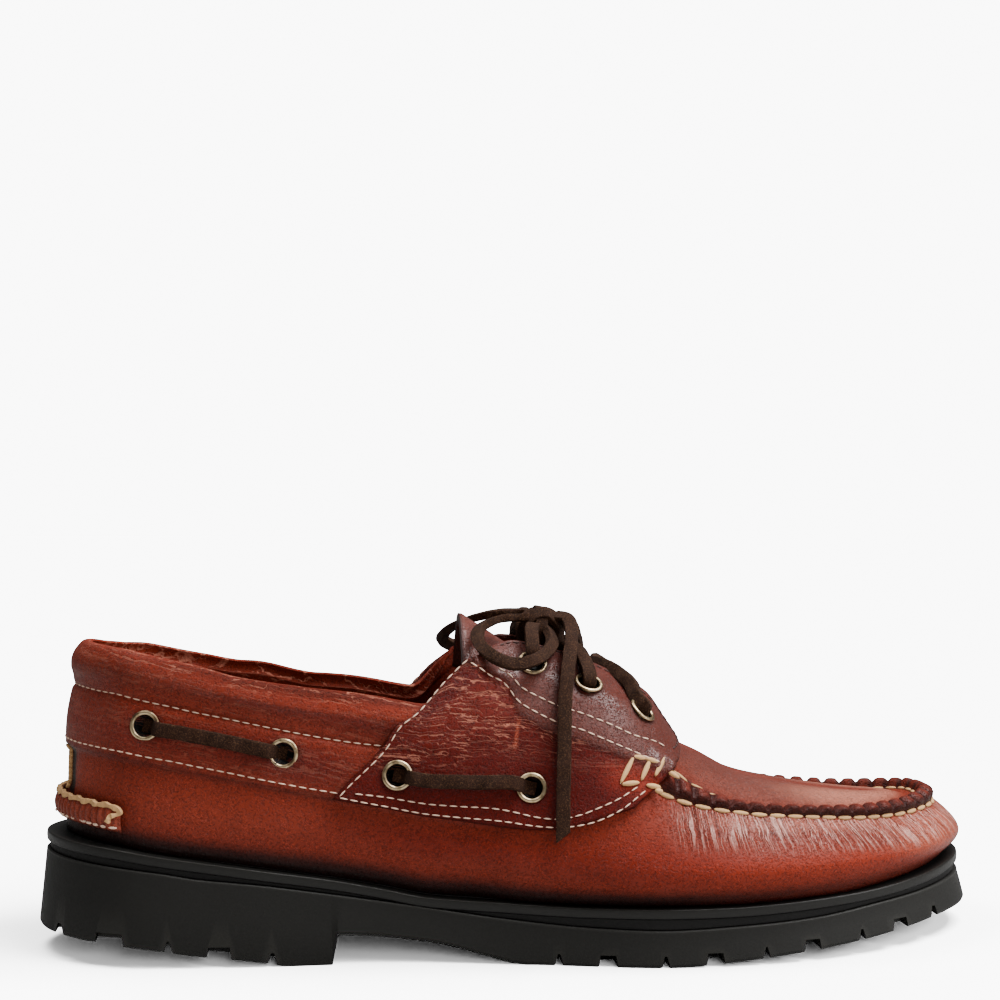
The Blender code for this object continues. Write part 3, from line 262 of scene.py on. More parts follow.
# The upper's top edge and, in front of the throat, its ridge: share of the length, the
# height that the row follows, and the height above the welt as a share of it
TOP_LINE = (
    (0.000, QUARTER_HEIGHT, 0.990),
    (0.040, QUARTER_HEIGHT, 0.990),
    (0.100, QUARTER_HEIGHT, 0.990),
    (0.165, QUARTER_HEIGHT, 0.975),
    (0.211, QUARTER_HEIGHT, 0.945),
    (0.270, QUARTER_HEIGHT, 0.945),
    (0.340, QUARTER_HEIGHT, 0.960),
    (0.390, QUARTER_HEIGHT, 0.965),
    (0.420, INSTEP_HEIGHT, 0.880),
    (0.442, INSTEP_HEIGHT, 0.950),
    (0.465, INSTEP_HEIGHT, 0.990),
    (0.488, INSTEP_HEIGHT, 1.000),
    (0.561, INSTEP_HEIGHT, 0.925),
    (0.600, INSTEP_HEIGHT, 0.855),
    (0.627, INSTEP_HEIGHT, 0.790),
    (0.660, INSTEP_HEIGHT, 0.625),
    (0.700, TOE_BOX_HEIGHT, 1.500),
    (0.733, TOE_BOX_HEIGHT, 1.280),
    (0.766, TOE_BOX_HEIGHT, 1.140),
    (0.805, TOE_BOX_HEIGHT, 1.035),
    (0.840, TOE_BOX_HEIGHT, 0.955),
    (0.885, TOE_BOX_HEIGHT, 0.850),
)

# The collar's inset from the sole's plan, and the feather edge's, as shares of the ball width
COLLAR_INSET = ((0.0, 0.144), (0.04, 0.128), (0.10, 0.100), (0.165, 0.082), (0.297, 0.068),
                (0.390, 0.080), (0.442, 0.120))
FEATHER_INSET = ((0.0, 0.067), (0.04, 0.062), (0.10, 0.048), (0.165, 0.042), (0.30, 0.039),
                 (0.56, 0.043), (0.80, 0.043), (0.88, 0.048), (1.0, 0.067))

# The throat: half its width as a share of the ball width. It closes at the plug.
THROAT = ((0.390, 0.280), (0.442, 0.260), (0.465, 0.180), (0.488, 0.130), (0.561, 0.124),
          (0.620, 0.105), (0.640, 0.082), (0.653, 0.048), (0.661, 0.0), (1.0, 0.0))
THROAT_END = 0.661
THROAT_FROM = 0.375
THROAT_STATIONS = (0.375, 0.395, 0.412, 0.427, 0.442, 0.456, 0.472, 0.490, 0.512, 0.535, 0.560,
                   0.585, 0.606, 0.624, 0.640, 0.653, THROAT_END)
RIDGE_PULL = 0.72
RIDGE_END = 0.885

# The ridge's line in plan, as a share of the ball width, and the inner side's fuller waist
RIDGE_SIDE = ((0.0, 0.0), (0.56, 0.0), (0.70, 0.010), (0.85, 0.035), (1.0, 0.045))
# How much lower the collar and the raised seam lie on the inner side, as shares of the
# quarter's and the toe box's height
INNER_DROP = ((0.0, 0.0, 0.0), (0.06, 0.03, 0.0), (0.30, 0.02, 0.0), (0.42, 0.0, 0.0),
              (0.62, 0.0, 0.0), (0.73, 0.0, 0.06), (0.90, 0.0, 0.05), (1.0, 0.0, 0.0))
INNER_SWELL = ((0.0, 0.0), (0.28, 0.004), (0.45, 0.036), (0.60, 0.028), (0.74, 0.0), (1.0, 0.0))

# Where the raised seam starts and reaches its full height
SEAM_START, SEAM_FULL = 0.618, 0.645
SEAM_MIDDLE, SEAM_HALF = 0.520, 0.060
# The collar: the heights between which its bulge rises and its padding fills out, and the
# shares of the length between which both fade towards the throat
BULGE_LOW, BULGE_HIGH = 0.54, 0.66
PAD_LOW, PAD_HIGH = 0.62, 0.85
COLLAR_FULL, COLLAR_END = 0.40, 0.46

# The saddle: along each of its edges, a share of the length for a share of the height
SADDLE_REAR = ((0.30, 0.298), (0.38, 0.313), (0.52, 0.352), (0.78, 0.378), (1.0, 0.398))
SADDLE_FRONT = ((0.30, 0.560), (0.36, 0.592), (0.43, 0.612), (0.50, 0.628), (0.59, 0.642),
                (0.77, 0.652), (1.0, 0.648))
SADDLE_FOOT = ((0.0, 0.325), (0.35, 0.318), (0.60, 0.310), (0.80, 0.300), (0.90, 0.305), (1.0, 0.330))

# The heel kicker, and the eyelets: share of the length, share of the way up the section
KICKER_END = 0.088
KICKER_LOW, KICKER_HIGH = 0.065, 0.175
KICKER_CROWN = 0.6
SIDE_EYELETS = ((0.114, 0.463), (0.254, 0.450), (0.367, 0.431), (0.499, 0.400))
FACING_EYELETS = ((0.503, 0.780), (0.552, 0.690), (0.606, 0.690))
SADDLE_EYELETS_FROM = 2

# The tongue: share of the length, half width as a share of the ball width, and the height of
# its edge and middle above the welt as shares of the instep height
TONGUE = (
    (0.438, 0.205, 0.885, 1.130),
    (0.465, 0.180, 0.850, 1.065),
    (0.495, 0.155, 0.810, 0.995),
    (0.561, 0.155, 0.765, 0.895),
    (0.627, 0.155, 0.600, 0.720),
    (0.660, 0.140, 0.475, 0.545),
    (0.690, 0.130, 0.390, 0.440),
)

# %% [markdown]
# ## The surface as functions
#
# A last-shaped surface has no primitive of its own. It could be sculpted, or lofted through
# sections. Here seven guide lines run round the shoe, and each section is one smooth curve
# through them, so every panel, stitch and crease can be placed by its turn and height.

# %% Surface functions
def monotone(rows, columns, x):
    """Smooth curves through a table's rows that never overshoot them."""
    at = np.array([row[0] for row in rows], float)
    values = np.array([[row[c] for c in columns] for row in rows], float)
    step = np.diff(at)
    slope = np.diff(values, axis=0) / step[:, None]
    tangent = np.zeros_like(values)
    tangent[0], tangent[-1] = slope[0], slope[-1]
    before, after = slope[:-1], slope[1:]
    same = before * after > 0
    safe_before = np.where(same, before, 1.0)
    safe_after = np.where(same, after, 1.0)
    tangent[1:-1] = np.where(same, 2.0 / (1.0 / safe_before + 1.0 / safe_after), 0.0)
    x = np.clip(np.asarray(x, float), at[0], at[-1])
    i = np.clip(np.searchsorted(at, x, side="right") - 1, 0, len(at) - 2)
    h = step[i][..., None]
    u = ((x - at[i]) / step[i])[..., None]
    return (values[i] * (2 * u**3 - 3 * u**2 + 1) + tangent[i] * h * (u**3 - 2 * u**2 + u)
            + values[i + 1] * (3 * u**2 - 2 * u**3) + tangent[i + 1] * h * (u**3 - u**2))


def sized(rows, columns):
    """A table's rows with the given share columns turned into lengths."""
    return [[row[0]] + [row[1] * row[c] for c in columns] for row in rows]


def closed_spline(points, samples):
    """A smooth closed curve through the points, knots by the root of the chord."""
    p = np.array(points, float)
    count = len(p)
    chord = np.sqrt(np.linalg.norm(np.roll(p, -1, 0) - p, axis=1))
    u = np.linspace(0, 1, samples // count, endpoint=False)[:, None]
    runs = []
    for i in range(count):
        a, b, c, d = p[i - 1], p[i], p[(i + 1) % count], p[(i + 2) % count]
        ab, bc, cd = chord[i - 1], chord[i], chord[(i + 1) % count]
        start = bc * ((b - a) / ab - (c - a) / (ab + bc) + (c - b) / bc)
        end = bc * ((c - b) / bc - (d - b) / (bc + cd) + (d - c) / cd)
        runs.append((2 * u**3 - 3 * u**2 + 1) * b + (u**3 - 2 * u**2 + u) * start
                    + (3 * u**2 - 2 * u**3) * c + (u**3 - u**2) * end)
    return np.concatenate(runs)


def plan_sides():
    """The plan's outer and inner side, each from heel to toe, as turn, point and normal."""
    curve = closed_spline([(at * LENGTH, share * width / 2) for at, share, width in PLAN], PLAN_POINTS)
    low, high = curve.min(0), curve.max(0)
    curve = (curve - (low + high) / 2) * np.array((LENGTH, BALL_WIDTH)) / (high - low)
    heel, toe = curve[:, 0].argmin(), curve[:, 0].argmax()
    along = np.roll(curve, -1, 0) - np.roll(curve, 1, 0)
    normal = np.stack((-along[:, 1], along[:, 0]), 1)
    normal /= np.linalg.norm(normal, axis=1)[:, None]
    if (normal[toe] @ (1, 0)) < 0:
        normal = -normal
    sides = []
    for first, last in ((heel, toe), (toe, heel)):
        index = np.arange(first, last + 1 if last > first else last + len(curve) + 1) % len(curve)
        sides.append(index)
    outer, inner = sides[0], sides[1][::-1]
    result = []
    for index in (outer, inner):
        at = np.clip(curve[index, 0] / LENGTH + 0.5, 0, 1)
        turn = np.maximum.accumulate(np.arccos(1 - 2 * at) / math.pi)
        result.append((turn, curve[index], normal[index]))
    return result


PLAN_SIDES = plan_sides()
SIDE_LENGTHS = sized(SOLE_SIDE, (2, 3))
TREAD_LENGTHS = sized(TREAD, (2,))
TOP_LENGTHS = sized(TOP_LINE, (2,))
SECTION_LENGTHS = [[row[0], row[2] * BALL_WIDTH, row[3] * row[1], row[4] * BALL_WIDTH, row[5] * row[1],
                    row[6] * BALL_WIDTH, row[7] * row[1], row[8] * BALL_WIDTH, row[9] * row[1],
                    row[10], row[11]] for row in SECTIONS]


def at_of(turn):
    """Share of the length at a turn: 0 at the heel, 1 at the toe, fine at both ends."""
    return (1 - np.cos(np.pi * np.abs(turn))) / 2


def turn_of(at):
    return np.arccos(1 - 2 * np.asarray(at, float)) / math.pi


def wrapped(turn):
    """Turns run from -1 through the heel at 0 to 1, and meet at the toe."""
    return (np.asarray(turn, float) + 1) % 2 - 1


def plan_at(turn):
    """Plan point and outward normal at a turn, which is negative on the outer side."""
    turn = wrapped(turn)
    point = np.empty(turn.shape + (2,))
    normal = np.empty(turn.shape + (2,))
    for chosen, (turns, points, normals) in ((turn <= 0, PLAN_SIDES[0]), (turn > 0, PLAN_SIDES[1])):
        for axis in (0, 1):
            point[chosen, axis] = np.interp(np.abs(turn[chosen]), turns, points[:, axis])
            normal[chosen, axis] = np.interp(np.abs(turn[chosen]), turns, normals[:, axis])
    return point, normal / np.linalg.norm(normal, axis=-1)[..., None]


def deck(at):
    return monotone(SIDE_LENGTHS, (1,), at)[..., 0]


def ridge_height(at):
    return monotone(SIDE_LENGTHS, (2,), at)[..., 0]


def tread(at):
    return monotone(TREAD_LENGTHS, (1,), at)[..., 0]


def ease(low, high, x):
    u = np.clip((x - low) / (high - low), 0, 1)
    return u * u * (3 - 2 * u)


def guides(turn):
    """The seven lines of the upper at each turn, as an array of points."""
    turn = wrapped(turn)
    at = at_of(turn)
    side = np.where(turn <= 0, -1.0, 1.0)
    point, normal = plan_at(turn)
    floor = deck(at) + GAP
    rows = monotone(SECTION_LENGTHS, range(1, 11), at)
    swell = monotone(INNER_SWELL, (1,), at)[..., 0] * BALL_WIDTH * (side > 0)

    def line(inset, up):
        plan = point - normal * inset[..., None]
        return np.concatenate((plan, (floor + up)[..., None]), -1)

    feather = line(monotone(FEATHER_INSET, (1,), at)[..., 0] * BALL_WIDTH, np.zeros_like(at))
    belly = line(rows[..., 0] - swell, rows[..., 1])
    shoulder = line(rows[..., 2] - swell, rows[..., 3])
    drop = monotone(INNER_DROP, (1, 2), at) * (side > 0)[..., None]
    seam_drop = drop[..., 1] * TOE_BOX_HEIGHT
    crest = line(rows[..., 4] - 0.7 * swell, rows[..., 5] - seam_drop)
    inner = line(rows[..., 6] - 0.4 * swell, rows[..., 7] - seam_drop)

    collar = line(monotone(COLLAR_INSET, (1,), at)[..., 0] * BALL_WIDTH, np.zeros_like(at))
    pulled = np.where(at > RIDGE_PULL,
                      RIDGE_PULL + (at - RIDGE_PULL) * (RIDGE_END - RIDGE_PULL) / (1 - RIDGE_PULL), at)
    throat = monotone(THROAT, (1,), at)[..., 0] * BALL_WIDTH
    ridge = np.stack(((pulled - 0.5) * LENGTH,
                      monotone(RIDGE_SIDE, (1,), pulled)[..., 0] * BALL_WIDTH + side * throat), -1)
    blend = ease(0.385, 0.445, at)[..., None]
    top = np.empty(at.shape + (3,))
    top[..., :2] = collar[..., :2] * (1 - blend) + ridge * blend
    rise = monotone(TOP_LENGTHS, (1,), pulled)[..., 0]
    top[..., 2] = deck(pulled) + GAP + rise - drop[..., 0] * QUARTER_HEIGHT

    middle = np.empty_like(top)
    middle[..., :2] = inner[..., :2] + (top - inner)[..., :2] * rows[..., 8, None]
    middle[..., 2] = inner[..., 2] + (top - inner)[..., 2] * rows[..., 9]
    return np.stack((feather, belly, shoulder, crest, inner, middle, top), -2)


def smooth_surface(turn, height):
    """The upper's outside without its raised seam or collar. turn and height are of one shape."""
    turn = np.asarray(turn, float)
    height = np.clip(np.asarray(height, float), 0, 1)
    g = guides(turn)
    k = np.array(KNOTS)
    rate = np.diff(g, axis=-2) / np.diff(k)[:, None]
    gap = np.diff(k)
    tangent = np.empty_like(g)
    tangent[..., 0, :] = rate[..., 0, :]
    tangent[..., -1, :] = rate[..., -1, :]
    weight = (gap[1:] / (gap[:-1] + gap[1:]))[:, None]
    tangent[..., 1:-1, :] = rate[..., :-1, :] * weight + rate[..., 1:, :] * (1 - weight)
    i = np.clip(np.searchsorted(k, height, side="right") - 1, 0, len(k) - 2)
    pick = i[..., None, None]

    def take(a, index):
        return np.take_along_axis(a, np.broadcast_to(index, index.shape[:-1] + (3,)), -2)[..., 0, :]

    h = gap[i][..., None]
    u = ((height - k[i]) / gap[i])[..., None]
    return (take(g, pick) * (2 * u**3 - 3 * u**2 + 1) + take(tangent, pick) * h * (u**3 - 2 * u**2 + u)
            + take(g, pick + 1) * (3 * u**2 - 2 * u**3) + take(tangent, pick + 1) * h * (u**3 - u**2))


def outward(turn, height):
    """Unit normals of the smooth surface."""
    reach = 0.004
    low = np.clip(np.asarray(height, float) - reach, 0, 1)
    high = np.clip(np.asarray(height, float) + reach, 0, 1)
    along = smooth_surface(turn + reach, height) - smooth_surface(turn - reach, height)
    up = smooth_surface(turn, high) - smooth_surface(turn, low)
    normal = np.cross(up, along)
    size = np.linalg.norm(normal, axis=-1)[..., None]
    return np.where(size > 1e-12, normal / np.maximum(size, 1e-12), (0.0, 0.0, 1.0))

# %% [markdown]
# ## What rises from the smooth leather
#
# The collar is padded, the panels lie over each other in steps, and the moccasin seam is a
# raised, pinched roll. Creases come from the walk and the last. Each is a soft ridge or trough
# of a few tenths of a millimetre up to three millimetres, added along the surface's normal.

# %% Lines along the leather
COLLAR_SEAM = ((0.0, 0.553), (0.036, 0.550), (0.067, 0.544), (0.098, 0.534), (0.134, 0.533), (0.171, 0.527),
               (0.250, 0.523), (0.353, 0.513), (0.400, 0.505), (1.0, 0.505))
BAND_SEAM = ((0.0, 0.350), (0.137, 0.350), (0.167, 0.345), (0.250, 0.338), (0.309, 0.335), (1.0, 0.330))
SEAM_THREAD = ((0.0, 0.431), (0.581, 0.435), (0.606, 0.440), (0.636, 0.450), (0.665, 0.466), (0.722, 0.466),
               (0.766, 0.460), (0.796, 0.450), (0.830, 0.438), (0.888, 0.420), (0.907, 0.414), (0.940, 0.408),
               (1.0, 0.408))
REAR_EDGE = ((0.30, 0.296), (0.334, 0.304), (0.381, 0.315), (0.519, 0.353), (0.78, 0.381), (0.90, 0.392),
             (0.96, 0.412), (1.0, 0.440))
FRONT_EDGE = ((0.30, 0.560), (0.34, 0.585), (0.40, 0.606), (0.46, 0.624), (0.53, 0.637), (0.60, 0.646),
              (0.70, 0.654), (0.85, 0.659), (1.0, 0.661))
FOOT_EDGE = ((0.0, 0.326), (0.20, 0.323), (0.45, 0.320), (0.72, 0.308), (0.85, 0.312), (0.93, 0.336),
             (1.0, 0.372))
FACING_EDGE = ((0.0, 1.10), (0.436, 1.02), (0.446, 0.90), (0.462, 0.70), (0.484, 0.515), (0.525, 0.488), (0.540, 0.492),
               (0.581, 0.490), (0.630, 0.500), (1.0, 0.51))
SEAM_PITCH = 0.0062

turns_fine = np.linspace(-1, 1, 2401)
seam_points = smooth_surface(turns_fine, monotone(SEAM_THREAD, (1,), at_of(turns_fine))[..., 0])
seam_run = np.concatenate(([0], np.cumsum(np.linalg.norm(np.diff(seam_points, axis=0), axis=1))))
toe_seam_from = np.interp(-turn_of(0.625), turns_fine, seam_run)
sewn_length = 2 * toe_seam_from
SEAM_STITCHES = int(round(sewn_length / SEAM_PITCH))
print("hand-sewn seam:", round(sewn_length * 1000), "mm,", SEAM_STITCHES, "stitches")


def line(table, turn):
    """The height of a line along the leather at a turn."""
    return monotone(table, (1,), at_of(wrapped(turn)))[..., 0]


def run_along(turn):
    """Distance along the moccasin seam from the toe, positive on the outer side."""
    run = np.interp(wrapped(turn), turns_fine, seam_run)
    return np.where(run > seam_run[-1] / 2, run - seam_run[-1], run)


def stitch_phase(turn):
    """0 at each hand stitch's hole, 1 at the next."""
    return run_along(turn) / sewn_length * SEAM_STITCHES


def noise_line(x, seed, cells=512):
    """Smooth random values from -1 to 1 along a line."""
    values = np.random.RandomState(seed).uniform(-1, 1, cells)
    base = np.floor(x).astype(int)
    u = x - base
    u = u * u * (3 - 2 * u)
    return values[base % cells] * (1 - u) + values[(base + 1) % cells] * u


def noise_sheet(x, y, seed, cells=64):
    """Smooth random values from -1 to 1 over a plane."""
    values = np.random.RandomState(seed).uniform(-1, 1, (cells, cells))
    i, j = np.floor(x).astype(int), np.floor(y).astype(int)
    u, v = x - i, y - j
    u, v = u * u * (3 - 2 * u), v * v * (3 - 2 * v)
    low = values[i % cells, j % cells] * (1 - u) + values[(i + 1) % cells, j % cells] * u
    high = values[i % cells, (j + 1) % cells] * (1 - u) + values[(i + 1) % cells, (j + 1) % cells] * u
    return low * (1 - v) + high * v


# %% Relief: seam, collar, steps and creases
SEAM_RISE = 0.0027
PINCH = 0.0021
COLLAR_ROLL = 0.0012
BAND_STEP = 0.0011
WRINKLE = 0.00042
FACING_STEP = 0.0006
EYELET_PIT = 0.0024


def moc_seam(turn, height):
    """The raised roll of the moccasin seam, pinched by its thread."""
    at = at_of(wrapped(turn))
    thread = line(SEAM_THREAD, turn)
    on = ease(0.603, 0.636, at)
    body = ease(thread + 0.004, thread + 0.036, height) * ease(thread + 0.128, thread + 0.082, height)
    phase = stitch_phase(turn)
    away = np.abs(phase - np.round(phase)) * SEAM_PITCH
    pinch = np.exp(-(away / 0.0010)**2)
    side = ease(thread + 0.110, thread + 0.06, height)
    gutter = np.exp(-((height - thread) / 0.016)**2) * 0.0006
    inside = np.exp(-((height - thread - 0.132) / 0.014)**2) * 0.0003
    return on * (body * (SEAM_RISE - PINCH * pinch * (0.35 + 0.65 * side)) - gutter - inside)


def wrinkles(turn, height):
    """Upright folds under the seam, where the vamp is gathered to the plug."""
    at = at_of(wrapped(turn))
    run = run_along(turn)
    thread = line(SEAM_THREAD, turn)
    lean = (thread - height) * 0.020 * np.sign(wrapped(turn)) * ease(1.0, 0.62, at)
    sway = 0.0006 * noise_sheet(run / 0.006, height * 9, 3)
    along = run + sway + lean
    folds = 0.6 * noise_line(along / 0.0017, 5) + 0.5 * noise_line(along / 0.0009 + 40, 6)
    folds += 0.5 * np.cos(2 * np.pi * stitch_phase(turn)) * ease(thread - 0.09, thread - 0.01, height)
    patch = 0.65 + 0.5 * noise_line(run / 0.019 + 7, 8)
    depth = ease(thread - 0.235, thread - 0.06, height) * ease(thread + 0.004, thread - 0.008, height)
    return WRINKLE * folds * np.clip(patch, 0.15, 1.2) * depth * ease(0.628, 0.668, at)


def gentle_dents(points):
    """The unevenness of worn leather, a few tenths of a millimetre over a few centimetres."""
    x, y, z = points[..., 0], points[..., 1], points[..., 2]
    wide = noise_sheet(x / 0.030 + 9, (z + 0.6 * y) / 0.022 + 5, 11)
    small = noise_sheet(x / 0.011 + 3, (z - 0.5 * y) / 0.009 + 8, 12)
    return 0.00030 * wide + 0.00010 * small


def panel_steps(turn, height):
    """Collar roll, the band that lies over the lower quarter, and the groove under each seam."""
    at = at_of(wrapped(turn))
    rear = ease(0.50, 0.44, at)
    collar = line(COLLAR_SEAM, turn)
    band = line(BAND_SEAM, turn)
    roll = COLLAR_ROLL * ease(collar, collar + 0.10, height) * ease(0.46, 0.40, at)
    groove = -0.0007 * np.exp(-((height - collar) / 0.010)**2) * rear
    belly = 0.0007 * np.sin(np.pi * np.clip((height - band) / (collar - band), 0, 1)) * rear
    step = (BAND_STEP * ease(band - 0.014, band - 0.006, height) - BAND_STEP) * rear
    heel = -0.0010 * ease(0.03, 0.0, at) * ease(band - 0.012, band - 0.030, height) * ease(0.17, 0.22, height)
    return roll + groove + belly + step + heel


def collar_folds(turn, height):
    """Short slanted creases over the padded collar's inner rim and top."""
    at = at_of(wrapped(turn))
    run = run_along(turn)
    slant = run + 0.012 * height
    crease = noise_line(slant / 0.0042, 21) * noise_line(run / 0.03, 22)
    return 0.00022 * crease * ease(0.86, 0.97, height) * ease(0.46, 0.40, at)


def eyelet_centres():
    """Centre, normal and side of every eyelet, seated on the leather."""
    found = []
    for side, sign in (("outer", -1), ("inner", 1)):
        rows = [("side", n, at, up) for n, (at, up) in enumerate(SIDE_EYELETS)]
        rows += [("facing", n, at, up) for n, (at, up) in enumerate(FACING_EYELETS)]
        for row, number, at, up in rows:
            over = row == "facing" or number >= SADDLE_EYELETS_FROM
            turn, height = np.array([sign * turn_of(at)]), np.array([up])
            lift = GAP + FACET + OVERLAY if over else 0.0
            rise = lift + (FACING_STEP if row == "facing" else 0.0)
            centre = smooth_surface(turn, height)[0] + outward(turn, height)[0] * rise
            found.append((f"eyelet_{side}_{row}_{number + 1}", centre, outward(turn, height)[0], over))
    return found


EYELETS = eyelet_centres()


def pits(points, over):
    """How deep the leather goes down into the eyelets' holes."""
    depth = np.zeros(points.shape[:-1])
    for name, centre, normal, on_saddle in EYELETS:
        if on_saddle and not over:
            away = np.linalg.norm(points - centre, axis=-1)
            depth = np.maximum(depth, 0.0040 * ease(0.0075, 0.0045, away))
        elif on_saddle == over:
            away = np.linalg.norm(points - centre, axis=-1)
            depth = np.maximum(depth, EYELET_PIT * ease(EYELET_HOLE / 2 + 0.0006, EYELET_HOLE / 2 - 0.0006, away))
    return depth


def base_relief(turn, height):
    return moc_seam(turn, height) + wrinkles(turn, height) + panel_steps(turn, height) + collar_folds(turn, height)


def skin(turn, height, lift=0.0, over=False):
    """A point on the dressed leather. over is true for the saddle, which lies on the base."""
    turn, height = np.broadcast_arrays(np.asarray(turn, float), np.asarray(height, float))
    smooth = smooth_surface(turn, height)
    normal = outward(turn, height)
    rise = gentle_dents(smooth) + lift
    if over:
        rise = rise + moc_seam(turn, height) * 0.9
    else:
        rise = rise + base_relief(turn, height)
    points = smooth + normal * rise[..., None]
    return points - normal * pits(points, over)[..., None], normal


print("eyelets:", len(EYELETS))

# %% [markdown]
# ## Sheets of leather
#
# Every leather panel starts as a flat grid, as a hide does, and is then laid on the surface: each
# of its points moves to the turn and height that the panel's pattern gives it. Solidify gives it
# its thickness. The grid keeps a UV map in real lengths, so grain and creases have one scale,
# and two colour attributes: the dye of each zone together with painted highlights and shade, and
# marks for creases, the gathers' painted sheen, and the rims.

# %% Laying a grid
def selected_only(thing):
    bpy.ops.object.select_all(action="DESELECT")
    thing.select_set(True)
    bpy.context.view_layer.objects.active = thing


def flat_grid(name, across, up):
    """A flat grid of points, and the column and row of each."""
    bpy.ops.object.select_all(action="DESELECT")
    bpy.ops.mesh.primitive_grid_add(x_subdivisions=across - 1, y_subdivisions=up - 1, size=1.0)
    thing = bpy.context.object
    thing.name = thing.data.name = name
    count = len(thing.data.vertices)
    place = np.empty(count * 3)
    thing.data.vertices.foreach_get("co", place)
    place = place.reshape(-1, 3)
    column = np.rint((place[:, 0] + 0.5) * (across - 1)).astype(int)
    row = np.rint((place[:, 1] + 0.5) * (up - 1)).astype(int)
    return thing, column, row


def lay(thing, column, row, grid):
    """Move a flat grid's points onto an array of points."""
    thing.data.vertices.foreach_set("co", grid[column, row].ravel())
    thing.data.update()


def set_colours(thing, name, values):
    layer = thing.data.color_attributes.new(name=name, type="FLOAT_COLOR", domain="POINT")
    rgba = np.ones((len(values), 4))
    rgba[:, :values.shape[1]] = values
    layer.data.foreach_set("color", rgba.ravel())


def set_uv(thing, values):
    """values: one UV per vertex, in metres times ten."""
    corner = np.empty(len(thing.data.loops), int)
    thing.data.loops.foreach_get("vertex_index", corner)
    if not thing.data.uv_layers:
        thing.data.uv_layers.new(name="UVMap")
    thing.data.uv_layers[0].data.foreach_set("uv", values[corner].ravel())


def lengths_of(grid):
    """Distance along the first axis at the grid's middle, and up each section."""
    middle = grid[:, grid.shape[1] // 2]
    along = np.concatenate(([0], np.cumsum(np.linalg.norm(np.diff(middle, axis=0), axis=-1))))
    up = np.concatenate((np.zeros((len(grid), 1)), np.cumsum(np.linalg.norm(np.diff(grid, axis=1), axis=-1), axis=1)), 1)
    return np.stack((np.broadcast_to(along[:, None], up.shape), up), -1) * 10


def merge_points(thing, distance):
    selected_only(thing)
    bpy.ops.object.mode_set(mode="EDIT")
    bpy.ops.mesh.select_all(action="SELECT")
    bpy.ops.mesh.remove_doubles(threshold=distance)
    bpy.ops.object.mode_set(mode="OBJECT")


def face_outwards(thing):
    selected_only(thing)
    bpy.ops.object.mode_set(mode="EDIT")
    bpy.ops.mesh.select_all(action="SELECT")
    bpy.ops.mesh.normals_make_consistent(inside=False)
    bpy.ops.object.mode_set(mode="OBJECT")


def thicken(thing, thickness, factors=None, offset=-1.0, lined=False):
    """Solidify the sheet, by a factor for each point, and apply it."""
    selected_only(thing)
    modifier = thing.modifiers.new("thickness", "SOLIDIFY")
    modifier.thickness = thickness
    modifier.offset = offset
    if factors is not None:
        group = thing.vertex_groups.new(name="thickness")
        for index, factor in enumerate(factors.tolist()):
            group.add((index,), factor, "REPLACE")
        modifier.vertex_group = group.name
    if lined:
        modifier.material_offset = 1
    bpy.ops.object.modifier_apply(modifier=modifier.name)


def smooth(thing):
    selected_only(thing)
    bpy.ops.object.shade_smooth()


def finish_piece(thing, *replaced, slot="leather"):
    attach(thing, "root")
    if replaced:
        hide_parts(*replaced)
    thing.data.calc_loop_triangles()
    print(thing.name, len(thing.data.loop_triangles), "triangles")


# %% [markdown]
# ## Dye and wear
# ## Dye, wear and painted highlights
# Pull-up leather is full of oil, and goes pale where it is stretched or bent. The hide is redder
# on the saddle, browner and cooler on the plug and the facings, and orange along the collar.
# The zones below are painted softly by their place on the shoe, as a finisher would with a pad.

# %% Painting by zones
HIDE_TONE = np.array((0.80, 0.56, 0.46))


def linear(red, green, blue):
    """An sRGB colour as linear light."""
    c = np.array((red, green, blue)) / 255
    return np.where(c <= 0.04045, c / 12.92, ((c + 0.055) / 1.055)**2.4)


def dye_and_light(red, green, blue):
    """A hide's colour, or a highlight or shade painted on it, in soft light, without the haze that its sheen adds."""
    return HIDE_TONE * linear(red, green, blue)


MAHOGANY = dye_and_light(120, 48, 32)
COLLAR_ORANGE = dye_and_light(76, 24, 8)
BAND_PLUM = dye_and_light(98, 38, 30)
SADDLE_RED = dye_and_light(80, 17, 9)
SADDLE_UPPER = dye_and_light(104, 34, 24)
FACING_MAUVE = dye_and_light(84, 44, 38)
PLUG_MAUVE = dye_and_light(106, 62, 54)
VAMP_ORANGE = dye_and_light(114, 34, 15)
TOE_HIGHLIGHT = dye_and_light(188, 118, 102)
SEAM_PINCH_SHADE = dye_and_light(72, 26, 18)
# Colour of the painted shade under steps and along edges
EDGE_SHADE = dye_and_light(52, 14, 8)

